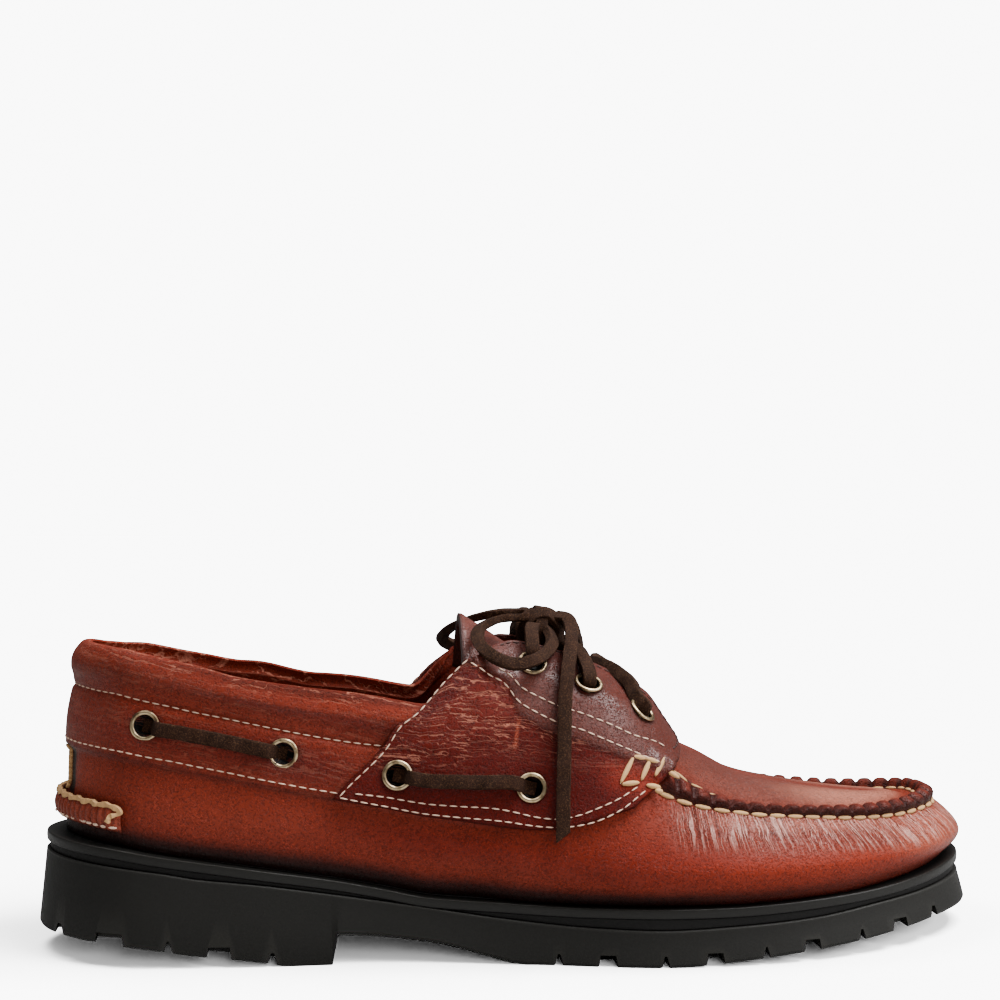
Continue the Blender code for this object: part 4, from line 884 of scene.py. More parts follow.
# Each zone: the share of the length and the height at its middle, its reach in both, its colour
# and its strength
BASE_ZONES = (
    (0.10, 0.74, 0.20, 0.20, dye_and_light(104, 43, 30), 0.8),
    (0.28, 0.93, 0.26, 0.12, COLLAR_ORANGE, 0.9),
    (0.02, 0.80, 0.07, 0.20, dye_and_light(128, 50, 26), 0.7),
    (0.03, 0.45, 0.08, 0.12, dye_and_light(132, 60, 46), 0.8),
    (0.03, 0.24, 0.07, 0.16, dye_and_light(146, 64, 44), 0.8),
    (0.24, 0.66, 0.14, 0.10, dye_and_light(86, 34, 28), 0.8),
    (0.15, 0.44, 0.20, 0.09, BAND_PLUM * 1.35, 0.8),
    (0.27, 0.43, 0.10, 0.09, dye_and_light(84, 22, 14), 0.8),
    (0.36, 0.62, 0.10, 0.12, dye_and_light(78, 20, 12), 0.7),
    (0.16, 0.20, 0.22, 0.14, dye_and_light(132, 58, 41), 0.7),
    (0.42, 0.22, 0.16, 0.10, dye_and_light(106, 30, 14), 0.7),
    (0.62, 0.20, 0.20, 0.14, VAMP_ORANGE, 0.8),
    (0.80, 0.16, 0.22, 0.12, dye_and_light(134, 48, 26), 0.7),
    # Painted highlight on the vamp's shoulder under the seam
    (0.80, 0.38, 0.19, 0.08, TOE_HIGHLIGHT, 0.60),
    # Painted highlight over the toe
    (0.96, 0.28, 0.11, 0.22, dye_and_light(170, 90, 66), 0.8),
    (0.72, 0.74, 0.20, 0.20, dye_and_light(106, 62, 54), 0.85),
    (0.84, 0.82, 0.34, 0.28, PLUG_MAUVE, 1.0),
    # Painted highlight on the plug towards the toe
    (0.92, 0.78, 0.16, 0.20, dye_and_light(176, 128, 114), 0.8),
    (0.68, 0.86, 0.10, 0.20, dye_and_light(92, 48, 40), 0.8),
)

# Each zone of polish: the same places and reaches, a gloss and a strength
GLOSS_ZONES = (
    (0.28, 0.90, 0.28, 0.20, 0.0, 1.0),
    (0.78, 0.38, 0.18, 0.12, 0.9, 1.0),
    (0.96, 0.28, 0.12, 0.24, 0.8, 1.0),
    (0.84, 0.82, 0.34, 0.28, 0.65, 1.0),
    (0.03, 0.60, 0.06, 0.50, 0.4, 0.8),
)
SADDLE_ZONES = (
    (0.44, 0.62, 0.12, 0.20, SADDLE_UPPER, 0.8),
    (0.55, 0.42, 0.10, 0.10, dye_and_light(76, 14, 7), 0.8),
    (0.36, 0.40, 0.07, 0.08, dye_and_light(84, 20, 12), 0.6),
    (0.46, 0.46, 0.12, 0.07, dye_and_light(78, 17, 9), 0.6),
    (0.60, 0.44, 0.05, 0.06, dye_and_light(128, 46, 30), 0.7),
)


def painted(turn, height, ground, zones):
    at = at_of(wrapped(turn))
    colour = np.broadcast_to(ground, at.shape + np.shape(ground)).copy()
    for at_middle, height_middle, at_reach, height_reach, tint, strength in zones:
        away = np.sqrt(((at - at_middle) / at_reach)**2 + ((height - height_middle) / height_reach)**2)
        share = (strength * ease(1.0, 0.15, away))[..., None]
        colour = colour * (1 - share) + tint * share
    return colour


def with_gloss(colour, gloss):
    """The dye with the polish as its fourth channel."""
    return np.concatenate((colour, np.broadcast_to(gloss, colour.shape[:-1] + (1,))), -1)


def shade_eyelet_holes(colour, points, over):
    """The same dyes with painted shade in the eyelets' holes, and a painted shadow round each eyelet's rim."""
    colour = colour.copy()
    for name, centre, normal, on_saddle in EYELETS:
        if on_saddle == over:
            away = np.linalg.norm(points - centre, axis=-1)
            # Painted shade: the hole is black
            colour[away < (EYELET_OUTER + EYELET_HOLE) / 4] *= 0.0
            # A painted shadow ring round the eyelet's rim
            near = (np.exp(-((away - EYELET_OUTER / 2) / 0.0008)**2) * 0.35)[..., None]
            colour = colour * (1 - near)
    return colour


# %% [markdown]
# ## The upper
#
# One hollow shell carries the vamp that wraps up from the sole, the plug, the quarters and the
# padded collar. It could be separate panels, but they are sewn so tightly that one sheet with
# steps and grooves shows the same, with no gaps. Stations lie close together over the toe,
# where the vamp is gathered, and wider at the heel. The rim is rounded by drawing the last rows
# in while the wall gets thinner.

# %% Upper: stations and rows
def spaced(low, high, steps):
    return list(np.linspace(low, high, steps, endpoint=False))


def stations(fine, coarse):
    """Turns round the shoe at real distances apart, close over the toe."""
    step = np.where(at_of(turns_fine) > 0.60, fine, coarse)
    step = np.where(np.abs(at_of(turns_fine) - 0.43) < 0.05, 0.5 * (fine + coarse), step)
    lengths = np.diff(seam_run) / (0.5 * (step[1:] + step[:-1]))
    count = np.concatenate(([0], np.cumsum(lengths)))
    half = np.interp(np.linspace(0, count[1200], int(count[1200]) + 1), count[:1201], turns_fine[:1201])
    half = np.array(sorted(list(half) + [-float(turn_of(THROAT_END))]))
    keep = np.concatenate(([True], np.diff(half) > 1e-4))
    half = half[keep]
    half[0], half[-1] = -1.0, 0.0
    return np.concatenate((half, -half[-2::-1]))


UPPER_FINE, UPPER_COARSE = 0.00088, 0.0018
upper_turns = stations(UPPER_FINE, UPPER_COARSE)
upper_rows = np.array(spaced(0, 0.18, 7) + spaced(0.18, 0.46, 27) + spaced(0.46, 0.62, 24) + spaced(0.62, 0.94, 12)
                      + [0.94, 0.955, 0.968, 0.978, 0.986, 0.992, 0.996, 1.0])
print("upper:", len(upper_turns), "stations,", len(upper_rows), "rows")

# %% Upper: shell
turn_grid, row_grid = np.meshgrid(upper_turns, upper_rows, indexing="ij")
shell, shell_normal = skin(turn_grid, row_grid)
at_grid = at_of(wrapped(turn_grid))
padded = ease(0.47, 0.38, at_grid)
wall = LEATHER + COLLAR_PAD * padded * ease(0.62, 0.85, row_grid)
from_rim = np.cumsum(np.linalg.norm(np.diff(shell, axis=1), axis=-1)[:, ::-1], axis=1)[:, ::-1]
from_rim = np.concatenate((from_rim, np.zeros((len(shell), 1))), 1)
closed = at_grid[:, 0] >= THROAT_END - 1e-6
RIM_KEPT = 0.04
round_off = 0.5 * wall * (1 - RIM_KEPT)
reach_in = np.clip(1 - from_rim / round_off, 0, 1)
drawn_in = round_off * (1 - np.sqrt(np.clip(1 - reach_in**2, 0, 1)))
drawn_in[closed] = 0
shell = shell - shell_normal * drawn_in[..., None]

# The far side of the collar stands a little higher where the pad is full.
collar_lift = 0.0020 * np.exp(-((at_grid - 0.225) / 0.035)**2) + 0.0010 * np.exp(-((at_grid - 0.32) / 0.05)**2)
shell[..., 2] += collar_lift * ease(0.80, 1.0, row_grid) * (turn_grid > 0)

# The plug's two halves would meet in a sharp ridge near the throat. Its last centimetre is rounded.
RIDGE_SOFT = 0.011
over_seam = int(np.searchsorted(upper_rows, 0.68))
for station in np.flatnonzero(closed):
    run_down = from_rim[station]
    reach = min(RIDGE_SOFT, 0.6 * run_down[over_seam])
    fall = shell[station, -1, 2] - np.interp(reach, run_down[::-1], shell[station, ::-1, 2])
    fade = float(ease(THROAT_END, THROAT_END + 0.012, at_grid[station, 0]))
    shell[station, :, 2] -= fade * 0.5 * max(fall, 0.0) * np.clip(1 - run_down / reach, 0, 1)**2
mirror = len(upper_turns) - 1 - np.arange(len(upper_turns))
ridge = 0.5 * (shell[:, -1] + shell[mirror, -1])
shell[closed, -1] = ridge[closed]

upper, column, row = flat_grid("upper_leather", len(upper_turns), len(upper_rows))
lay(upper, column, row, shell)
set_uv(upper, lengths_of(smooth_surface(turn_grid, row_grid))[column, row])
upper_paint = painted(turn_grid, row_grid, MAHOGANY, BASE_ZONES)
phase = stitch_phase(turn_grid)
away = np.abs(phase - np.round(phase))
thread_line = line(SEAM_THREAD, turn_grid)
on_roll = ease(0.60, 0.64, at_grid) * ease(thread_line - 0.004, thread_line + 0.012, row_grid) * ease(
    thread_line + 0.165, thread_line + 0.140, row_grid)
# Painted shade on the seam's roll, darkest in the pinches between its puckers
roll_light_and_shade = SEAM_PINCH_SHADE * 0.5 + (dye_and_light(96, 42, 33) - SEAM_PINCH_SHADE * 0.5) * (ease(0.10, 0.34, away) * ease(
    thread_line + 0.02, thread_line + 0.06, row_grid))[..., None]
upper_paint = upper_paint * (1 - on_roll[..., None]) + roll_light_and_shade * on_roll[..., None]
toe_share = ease(0.60, 0.92, at_of(wrapped(turn_grid)))
foot_shade = (ease(0.112, 0.034, row_grid) * (0.97 - 0.45 * toe_share))[..., None]
upper_paint = upper_paint * (1 - foot_shade) + dye_and_light(10, 3, 2) * foot_shade
heel_turns = np.linspace(0, 0.2, 200)
heel_points = smooth_surface(heel_turns, np.full(200, 0.26))
heel_run = np.concatenate(([0], np.cumsum(np.linalg.norm(np.diff(heel_points, axis=0), axis=1))))


def heel_arc(turn):
    """Distance round the heel from the middle of the back."""
    return np.interp(np.abs(turn), heel_turns, heel_run)


HEEL_SLIT = (0.0072, 0.0125)
# Painted shade in the groove down the back of the heel
heel_slit_shade = (ease(HEEL_SLIT[0] - 0.001, HEEL_SLIT[0], heel_arc(turn_grid)) * ease(
    HEEL_SLIT[1] + 0.001, HEEL_SLIT[1], heel_arc(turn_grid)) * ease(0.15, 0.18, row_grid) * ease(
    0.345, 0.335, row_grid))[..., None]
band_foot = line(BAND_SEAM, turn_grid) - 0.008
band_shade = (np.exp(-((row_grid - band_foot) / 0.009)**2) * ease(0.315, 0.300, at_grid) * 0.55)[..., None]
upper_paint = upper_paint * (1 - band_shade) + EDGE_SHADE * band_shade
upper_paint = upper_paint * (1 - heel_slit_shade) + dye_and_light(20, 6, 4) * heel_slit_shade
upper_paint = shade_eyelet_holes(upper_paint, shell, False)
# Where the gathers under the seam get a painted highlight on their crests and painted shade in their troughs
sheen_mark = ease(thread_line - 0.24, thread_line - 0.13, row_grid) * ease(
    thread_line, thread_line - 0.02, row_grid) * ease(0.63, 0.67, at_grid)
crease_mark = ease(0.30, 0.36, row_grid) * ease(0.46, 0.30, at_grid) * 0.25 + ease(0.80, 0.95, row_grid) * ease(
    0.45, 0.40, at_grid) * 0.6
# Paler rims, partly from wear and partly a painted highlight
rim_mark = ease(0.0012, 0.0, from_rim) * (~closed)[:, None]
upper_marks = np.stack((crease_mark, sheen_mark, rim_mark), -1)
upper_gloss = painted(turn_grid, row_grid, np.array((0.15,)), GLOSS_ZONES) * (1 - on_roll[..., None] * 0.4)
set_colours(upper, "dye_and_light", with_gloss(upper_paint, upper_gloss)[column, row])
set_colours(upper, "marks", upper_marks[column, row])
# The wall is thinner where the plug's halves meet at the toe, so that its inside stays inside.
ridge_near = ease(0.005, 0.001, from_rim) * ease(0.78, 0.84, at_grid) * closed[:, None]
factors = ((wall - 2 * drawn_in) * (1 - 0.75 * ridge_near) / (LEATHER + COLLAR_PAD))[column, row]
thick_of_wall = LEATHER + COLLAR_PAD
print("rim drawn in by", round(drawn_in.max() * 1000, 2), "mm")

# %% [markdown]
# The grid's two ends meet at the toe, and its last row meets itself along the plug. Their points
# are merged before the wall gets its thickness, so the shell has no seam of its own there.

# %% Upper: close and thicken
vertex_factor = upper.data.attributes.new("factor", "FLOAT", "POINT")
vertex_factor.data.foreach_set("value", factors)
merge_points(upper, 1e-6)
kept_factors = np.empty(len(upper.data.vertices))
upper.data.attributes["factor"].data.foreach_get("value", kept_factors)
face_outwards(upper)
if sum(face.normal.z for face in upper.data.polygons) < 0:
    upper.data.flip_normals()
thicken(upper, thick_of_wall, kept_factors, lined=True)
smooth(upper)
finish_piece(upper, "upper")

# %% [markdown]
# ## The saddles
#
# On each side an overlay runs from the collar to the seam and carries the laces. Its edge is cut
# and skived thin, so its sheet thins towards its border, and the facing at its top is one more
# layer. It follows the same surface with its own lift, so it lies on the upper everywhere.

# %% Saddles
def edge_height(share):
    return monotone(FOOT_EDGE, (1,), share)[..., 0]


def saddle_pattern(sign, across, up):
    """Turns and heights of the saddle's grid, and the share of the length at each point."""
    a = np.linspace(0, 1, across)
    a = a + 0.012 * np.sin(2 * np.pi * a)
    b = np.linspace(0, 1, up)
    foot = edge_height(a)
    height = foot[:, None] + (1 - foot[:, None]) * b[None, :]
    rear = monotone(REAR_EDGE, (1,), height)[..., 0]
    front = monotone(FRONT_EDGE, (1,), height)[..., 0]
    at = rear + (front - rear) * a[:, None]
    return sign * turn_of(at), height, at


def border_distance(grid):
    """Distance of each grid point to the nearest of the grid's four sides, measured along it."""
    def run(axis):
        step = np.linalg.norm(np.diff(grid, axis=axis), axis=-1)
        pad = np.zeros_like(np.take(step, [0], axis=axis))
        start = np.concatenate((pad, np.cumsum(step, axis=axis)), axis=axis)
        return np.minimum(start, np.take(start, [-1], axis=axis) - start)
    return np.minimum(run(0), run(1))


SADDLE_LIFT = GAP + FACET + OVERLAY
SCRATCH = (0.483, 0.477)


def horizontal_creases(turn, height, points):
    """Long shallow creases over the saddle's upper half, from the foot's flexing."""
    at = at_of(wrapped(turn))
    x, z = points[..., 0], points[..., 2] + 0.16 * points[..., 0]
    wave = noise_sheet(x / 0.013 + 4, z / 0.0030 + 2, 31) + 0.6 * noise_sheet(x / 0.007 + 9, z / 0.0016, 32)
    mask = ease(0.43, 0.50, height) * ease(1.0, 0.85, height) * ease(0.60, 0.54, at)
    return 0.00020 * wave * mask


def build_saddle(name, sign, replaced):
    pattern_turn, pattern_height, at = saddle_pattern(sign, 150, 96)
    points, normal = skin(pattern_turn, pattern_height, SADDLE_LIFT, over=True)
    smooth_points = smooth_surface(pattern_turn, pattern_height)
    facing = line(FACING_EDGE, pattern_turn)
    on_facing = ease(facing - 0.006, facing + 0.004, pattern_height)
    rise = horizontal_creases(pattern_turn, pattern_height, smooth_points) * (1 - on_facing)
    rise = rise + FACING_STEP * on_facing
    edge = border_distance(smooth_points)
    bevel = 0.0009
    drop = bevel * (1 - np.sqrt(np.clip(1 - np.clip(1 - edge / bevel, 0, 1)**2, 0, 1)))
    points = points + normal * (rise - drop)[..., None]
    piece, column, row = flat_grid(name, 150, 96)
    lay(piece, column, row, points)
    set_uv(piece, lengths_of(smooth_points)[column, row])
    paint = painted(pattern_turn, pattern_height, SADDLE_RED, SADDLE_ZONES)
    mauve = painted(pattern_turn, pattern_height, FACING_MAUVE, ())
    paint = paint * (1 - on_facing[..., None]) + mauve * on_facing[..., None]
    step_shade = np.exp(-((pattern_height - facing + 0.004) / 0.006)**2)[..., None] * 0.5
    border_shade = ease(0.0007, 0.0002, edge)[..., None] * 0.75
    paint = paint * (1 - step_shade) + EDGE_SHADE * step_shade
    paint = paint * (1 - border_shade) + EDGE_SHADE * border_shade
    lean = at - SCRATCH[0] - 0.05 * (pattern_height - SCRATCH[1])
    scratch = (ease(0.0020, 0.0006, np.abs(lean)) * ease(0.026, 0.016, np.abs(pattern_height - SCRATCH[1])) * (
        0.7 * (sign < 0)))[..., None]
    paint = paint * (1 - scratch) + dye_and_light(176, 98, 76) * scratch
    paint = shade_eyelet_holes(paint, points, True)
    gloss = (0.06 + 0.10 * ease(0.46, 0.56, pattern_height) + 0.30 * on_facing)[..., None]
    creased = ease(0.42, 0.50, pattern_height) * ease(0.62, 0.52, at) * (1 - on_facing)
    marks = np.stack((creased, on_facing * 0.0, ease(0.0010, 0.0, edge)), -1)
    set_colours(piece, "dye_and_light", with_gloss(paint, gloss)[column, row])
    set_colours(piece, "marks", marks[column, row])
    factor = np.clip((OVERLAY - drop) / OVERLAY, 0.05, 1)[column, row]
    if (np.cross(points[1, 0] - points[0, 0], points[0, 1] - points[0, 0]) @ normal[0, 0]) < 0:
        piece.data.flip_normals()
    thicken(piece, OVERLAY, factor)
    smooth(piece)
    finish_piece(piece, replaced, slot="saddle_leather")
    return piece


saddle_outer = build_saddle("saddle_outer_leather", -1, "saddle_outer")
saddle_inner = build_saddle("saddle_inner_leather", 1, "saddle_inner")

# %% [markdown]
# ## The heel kicker
#
# A raised ridge is pinched out of the leather low round the heel, and whipped with thick thread.
# It is a narrow sheet on the same surface, high along its middle and notched at each stitch.

# %% Heel kicker
KICKER_NOTCH = 0.0031


def kicker_rise(turn, height):
    run = (np.asarray(turn) * 1.0) * seam_run[-1] * 0.42
    notch = np.exp(-(((run / KICKER_NOTCH) - np.round(run / KICKER_NOTCH)) / 0.17)**2)
    u = np.clip((height - KICKER_LOW) / (KICKER_HIGH - KICKER_LOW), 0, 1)
    crown = np.sin(np.pi * u)**0.55
    ends = ease(turn_of(KICKER_END), turn_of(KICKER_END * 0.90), np.abs(turn))
    return (KICKER_THICK * crown * (1 - 0.50 * notch)) * (0.04 + 0.96 * ends)


KICKER_ACROSS = 241
kicker_turns = np.linspace(-float(turn_of(KICKER_END)), float(turn_of(KICKER_END)), KICKER_ACROSS)
kicker_rows = np.linspace(KICKER_LOW, KICKER_HIGH, 19)
kt, kr = np.meshgrid(kicker_turns, kicker_rows, indexing="ij")
kicker_points = smooth_surface(kt, kr) + outward(kt, kr) * (GAP + 0.0002 + kicker_rise(kt, kr))[..., None]
kicker, column, row = flat_grid("heel_kicker_leather", KICKER_ACROSS, 19)
lay(kicker, column, row, kicker_points)
set_uv(kicker, lengths_of(kicker_points)[column, row])
kicker_paint = np.broadcast_to(dye_and_light(136, 66, 48), kt.shape + (3,)).copy()
# Painted shade along the kicker's top and bottom edges, where it rises from the leather
kicker_edge_shade = (ease(KICKER_HIGH - 0.028, KICKER_HIGH, kr) + ease(KICKER_LOW + 0.02, KICKER_LOW, kr))[..., None] * 0.7
kicker_paint = kicker_paint * (1 - kicker_edge_shade) + EDGE_SHADE * kicker_edge_shade
set_colours(kicker, "dye_and_light", with_gloss(kicker_paint, 0.35)[column, row])
set_colours(kicker, "marks", np.zeros((len(column), 3)))
if (np.cross(kicker_points[1, 5] - kicker_points[0, 5], kicker_points[0, 6] - kicker_points[0, 5])
        @ outward(kt, kr)[0, 5]) < 0:
    kicker.data.flip_normals()
thicken(kicker, 0.0006)
smooth(kicker)
finish_piece(kicker, "heel_kicker")

# %% [markdown]
# ## The tongue
#
# A plain cut sheet of leather, arched over the instep. It stands up steeply behind the knot.
# Its raw edge is darker than its face.

# %% Tongue
tongue_at = np.linspace(TONGUE[0][0], TONGUE[-1][0], 70)
tongue_side = np.linspace(-1, 1, 61)
tongue_rows = monotone(TONGUE, (1, 2, 3), tongue_at)
tongue_half = tongue_rows[:, 0] * BALL_WIDTH
tongue_edge = deck(tongue_at) + tongue_rows[:, 1] * INSTEP_HEIGHT
tongue_middle = deck(tongue_at) + tongue_rows[:, 2] * INSTEP_HEIGHT
tongue_centre = monotone(RIDGE_SIDE, (1,), tongue_at)[:, 0] * BALL_WIDTH
tongue_grid = np.empty((70, 61, 3))
tongue_grid[..., 0] = ((tongue_at - 0.5) * LENGTH)[:, None]
tongue_grid[..., 1] = tongue_centre[:, None] + tongue_half[:, None] * tongue_side
tongue_grid[..., 2] = tongue_middle[:, None] - (tongue_middle - tongue_edge)[:, None] * tongue_side**2
tongue_edge_away = border_distance(tongue_grid)
tongue_bevel = 0.0006
tongue_drop = tongue_bevel * (1 - np.sqrt(np.clip(1 - np.clip(1 - tongue_edge_away / tongue_bevel, 0, 1)**2, 0, 1)))
tongue_dent = 0.0003 * noise_sheet(tongue_grid[..., 0] / 0.012 + 5, tongue_grid[..., 1] / 0.010 + 5, 44)
tongue_grid[..., 2] += tongue_dent - tongue_drop
tongue, column, row = flat_grid("tongue_leather", 70, 61)
lay(tongue, column, row, tongue_grid)
set_uv(tongue, lengths_of(tongue_grid)[column, row])
tongue_paint = np.broadcast_to(dye_and_light(98, 56, 50), (70, 61, 3)).copy()
raw = ease(0.0012, 0.0003, tongue_edge_away)[..., None]
tongue_paint = tongue_paint * (1 - raw) + dye_and_light(48, 18, 12) * raw
set_colours(tongue, "dye_and_light", with_gloss(tongue_paint, 0.7)[column, row])
set_colours(tongue, "marks", np.stack((np.full(len(column), 0.0), np.zeros(len(column)), raw[..., 0][column, row]), -1))
if tongue.data.polygons[2000].normal.z < 0:
    tongue.data.flip_normals()
thicken(tongue, TONGUE_THICK)
smooth(tongue)
finish_piece(tongue, "tongue")

# %% [markdown]
# ## The rubber sole
#
# Outsole, band and welt follow one plan. Each could be an extruded outline, but its edges rise and
# fall with the heel, arch and toe. Here a flat grid is wrapped round the plan, with one row for
# each ring, and its first and last rows run in to the middle line, which closes the body.
# The tread's gaps are cut by boxes, as a mould's ribs would leave them.

# %% Sole: rings
SOLE_AROUND = 241


def wrap_rings(name, rings, fill=3):
    """A closed body through rings of (inset, height function, mark). The mark sets a painted highlight along its ring,
    and a smoother finish there.
    """
    half = np.sort(np.concatenate((np.linspace(0, 1, SOLE_AROUND // 2), turn_of(np.array((0.262, 0.303, 0.308))))))
    turns = np.concatenate((-half[::-1], half[1:]))
    point, normal = plan_at(turns)
    at = at_of(turns)
    loops = []
    marks = []
    for inset, height, mark in rings:
        plan = point - normal * inset
        loops.append(np.concatenate((plan, height(at)[:, None]), 1))
        marks.append(mark)
    for end, order in ((0, -1), (-1, 1)):
        edge = loops[end]
        middle = edge.copy()
        middle[:, :2] = 0.5 * (edge + edge[::-1])[:, :2]
        runs = [edge * (1 - k / fill) + middle * (k / fill) for k in range(1, fill + 1)]
        if end == 0:
            loops = runs[::-1] + loops
            marks = [marks[0]] * fill + marks
        else:
            loops = loops + runs
            marks = marks + [marks[-1]] * fill
    grid = np.stack(loops, 1)
    body, column, row = flat_grid(name, grid.shape[0], grid.shape[1])
    lay(body, column, row, grid)
    set_colours(body, "marks", np.repeat(np.array(marks)[row][:, None], 3, 1))
    merge_points(body, 1e-6)
    face_outwards(body)
    return body


def sharp_smooth(thing, degrees):
    selected_only(thing)
    bpy.ops.object.shade_smooth_by_angle(angle=math.radians(degrees))


# %% Outsole
outsole = wrap_rings("outsole_rubber", (
    (EDGE_ROUND, lambda at: tread(at), 0.0),
    (EDGE_ROUND * 0.3, lambda at: tread(at) + EDGE_ROUND * 0.3, 0.0),
    (0.0, lambda at: tread(at) + EDGE_ROUND, 0.0),
    (WALL_LEAN * 0.5, lambda at: 0.5 * (tread(at) + EDGE_ROUND + ridge_height(at)), 0.0),
    (WALL_LEAN * 0.95, lambda at: ridge_height(at) - 0.0009, 0.0),
    (WALL_LEAN * 0.97, lambda at: ridge_height(at) - 0.0003, 0.7),
    (WALL_LEAN + 0.0003, lambda at: ridge_height(at), 0.5),
    (WALL_LEAN + BAND_RECESS, lambda at: ridge_height(at), 0.0)))


GROOVE_FLARE = 0.0009
GROOVE_SHOWN = 0.66
GROOVE_REACH = 0.0095


def box_at(low, high, flare=GROOVE_FLARE):
    """A box that is wider at its foot, as a mould's rib is."""
    size = [b - a for a, b in zip(low, high)]
    middle = [(a + b) / 2 for a, b in zip(low, high)]
    bpy.ops.mesh.primitive_cube_add(size=1.0, location=middle, scale=size)
    box = bpy.context.object
    bpy.ops.object.mode_set(mode="EDIT")
    bpy.ops.mesh.select_all(action="DESELECT")
    bpy.ops.object.mode_set(mode="OBJECT")
    for face in box.data.polygons:
        face.select = face.normal.z < -0.5
    bpy.ops.object.mode_set(mode="EDIT")
    bpy.ops.transform.resize(value=(1 + 2 * flare / size[0] * size[2] / LUG_DEPTH, 1, 1))
    bpy.ops.object.mode_set(mode="OBJECT")
    return box


def tread_boxes():
    """Boxes where the tread is open: between the side lugs, their thin cuts, and the middle blocks."""
    boxes = []
    for side, sign in (("outer", -1), ("inner", 1)):
        for number, (first, last, depth) in enumerate(SIDE_GROOVES):
            back = 0.005 + 0.0125 * min(first, 0.76)
            first, last = first - back, last - back - 0.15 * (last - first)
            sipe = depth < LUG_DEPTH
            first, last = (first + 0.0022, last - 0.0022) if sipe else (first, last)
            depth = depth if sipe else depth * GROOVE_SHOWN
            middle = (first + last) / 2
            point, _ = plan_at(np.array([sign * turn_of(middle)]))
            rim = float(point[0, 1])
            reach = min(GROOVE_REACH, abs(rim) - CENTRE_GROOVE)
            ends = sorted((rim - sign * reach, sign * BALL_WIDTH))
            top = float(tread(np.array(middle))) + depth
            boxes.append(box_at(((first - 0.5) * LENGTH, ends[0], -LUG_DEPTH), ((last - 0.5) * LENGTH, ends[1], top),
                                0.0016 if sipe else GROOVE_FLARE))
    for number, (first, last) in enumerate(MIDDLE_GROOVES):
        middle = (first + last) / 2
        outer, _ = plan_at(np.array([-turn_of(middle)]))
        inner, _ = plan_at(np.array([turn_of(middle)]))
        low = float(outer[0, 1]) + SIDE_LUG_REACH - CENTRE_GROOVE
        high = float(inner[0, 1]) - SIDE_LUG_REACH + CENTRE_GROOVE
        top = float(tread(np.array(middle))) + LUG_DEPTH
        boxes.append(box_at(((first - 0.5) * LENGTH, low, -LUG_DEPTH), ((last - 0.5) * LENGTH, high, top)))
    return boxes


bpy.ops.object.select_all(action="DESELECT")
boxes = tread_boxes()
for box in boxes:
    box.select_set(True)
bpy.context.view_layer.objects.active = boxes[0]
bpy.ops.object.join()
cutter = bpy.context.object
bpy.ops.object.transform_apply(location=True, rotation=True, scale=True)
selected_only(outsole)
modifier = outsole.modifiers.new("tread", "BOOLEAN")
modifier.operation = "DIFFERENCE"
modifier.solver = "EXACT"
modifier.use_self = True
modifier.object = cutter
bpy.ops.object.modifier_apply(modifier=modifier.name)
bpy.data.objects.remove(cutter)
sharp_smooth(outsole, 32)
finish_piece(outsole, "outsole", slot="rubber")

# %% Band and welt
band = wrap_rings("midsole_rubber", (
    (WALL_LEAN + BAND_RECESS, lambda at: ridge_height(at) + GAP, 0.0),
    (WALL_LEAN + BAND_RECESS, lambda at: deck(at) - WELT_THICK - GAP, 0.0)))
sharp_smooth(band, 40)
finish_piece(band, "midsole", slot="rubber")

WELT_ROUND = 0.0005
welt = wrap_rings("welt_rubber_rim", (
    (WALL_LEAN + 0.0003, lambda at: deck(at) - WELT_THICK, 0.0),
    (WALL_LEAN, lambda at: deck(at) - WELT_THICK + 0.0003, 0.1),
    (WALL_LEAN - 0.0001, lambda at: deck(at) - 0.5 * WELT_THICK, 0.3),
    (WALL_LEAN, lambda at: deck(at) - WELT_ROUND, 0.6),
    (WALL_LEAN + 0.13 * WELT_ROUND, lambda at: deck(at) - 0.5 * WELT_ROUND, 0.9),
    (WALL_LEAN + 0.5 * WELT_ROUND, lambda at: deck(at) - 0.13 * WELT_ROUND, 1.0),
    (WALL_LEAN + WELT_ROUND, lambda at: deck(at), 0.8),
    (WALL_LEAN + 2.5 * WELT_ROUND, lambda at: deck(at), 0.0)))
sharp_smooth(welt, 38)
finish_piece(welt, "welt", slot="welt_rubber")

# %% [markdown]
# ## Brass eyelets
#
# Each eyelet is a rolled brass rim with a short barrel. A torus, pressed flatter and with a barrel
# under it, has the rim's own shape. One is made, and its points are placed at each hole.

# %% Eyelets
EYELET_ROLL = 0.84 * (EYELET_OUTER - EYELET_HOLE) / 4
EYELET_RIM = 0.485 * EYELET_OUTER - EYELET_ROLL
EYELET_SEAT = 0.0004


def points_of(thing):
    co = np.empty(len(thing.data.vertices) * 3)
    thing.data.vertices.foreach_get("co", co)
    return co.reshape(-1, 3)


def frame_along(direction, normal):
    """Two unit vectors across a direction: sideways, and out along the normal."""
    direction = np.asarray(direction, float)
    side = np.cross(normal, direction)
    side = side / np.maximum(np.linalg.norm(side, axis=-1)[..., None], 1e-12)
    out = np.cross(direction, side)
    return side, out


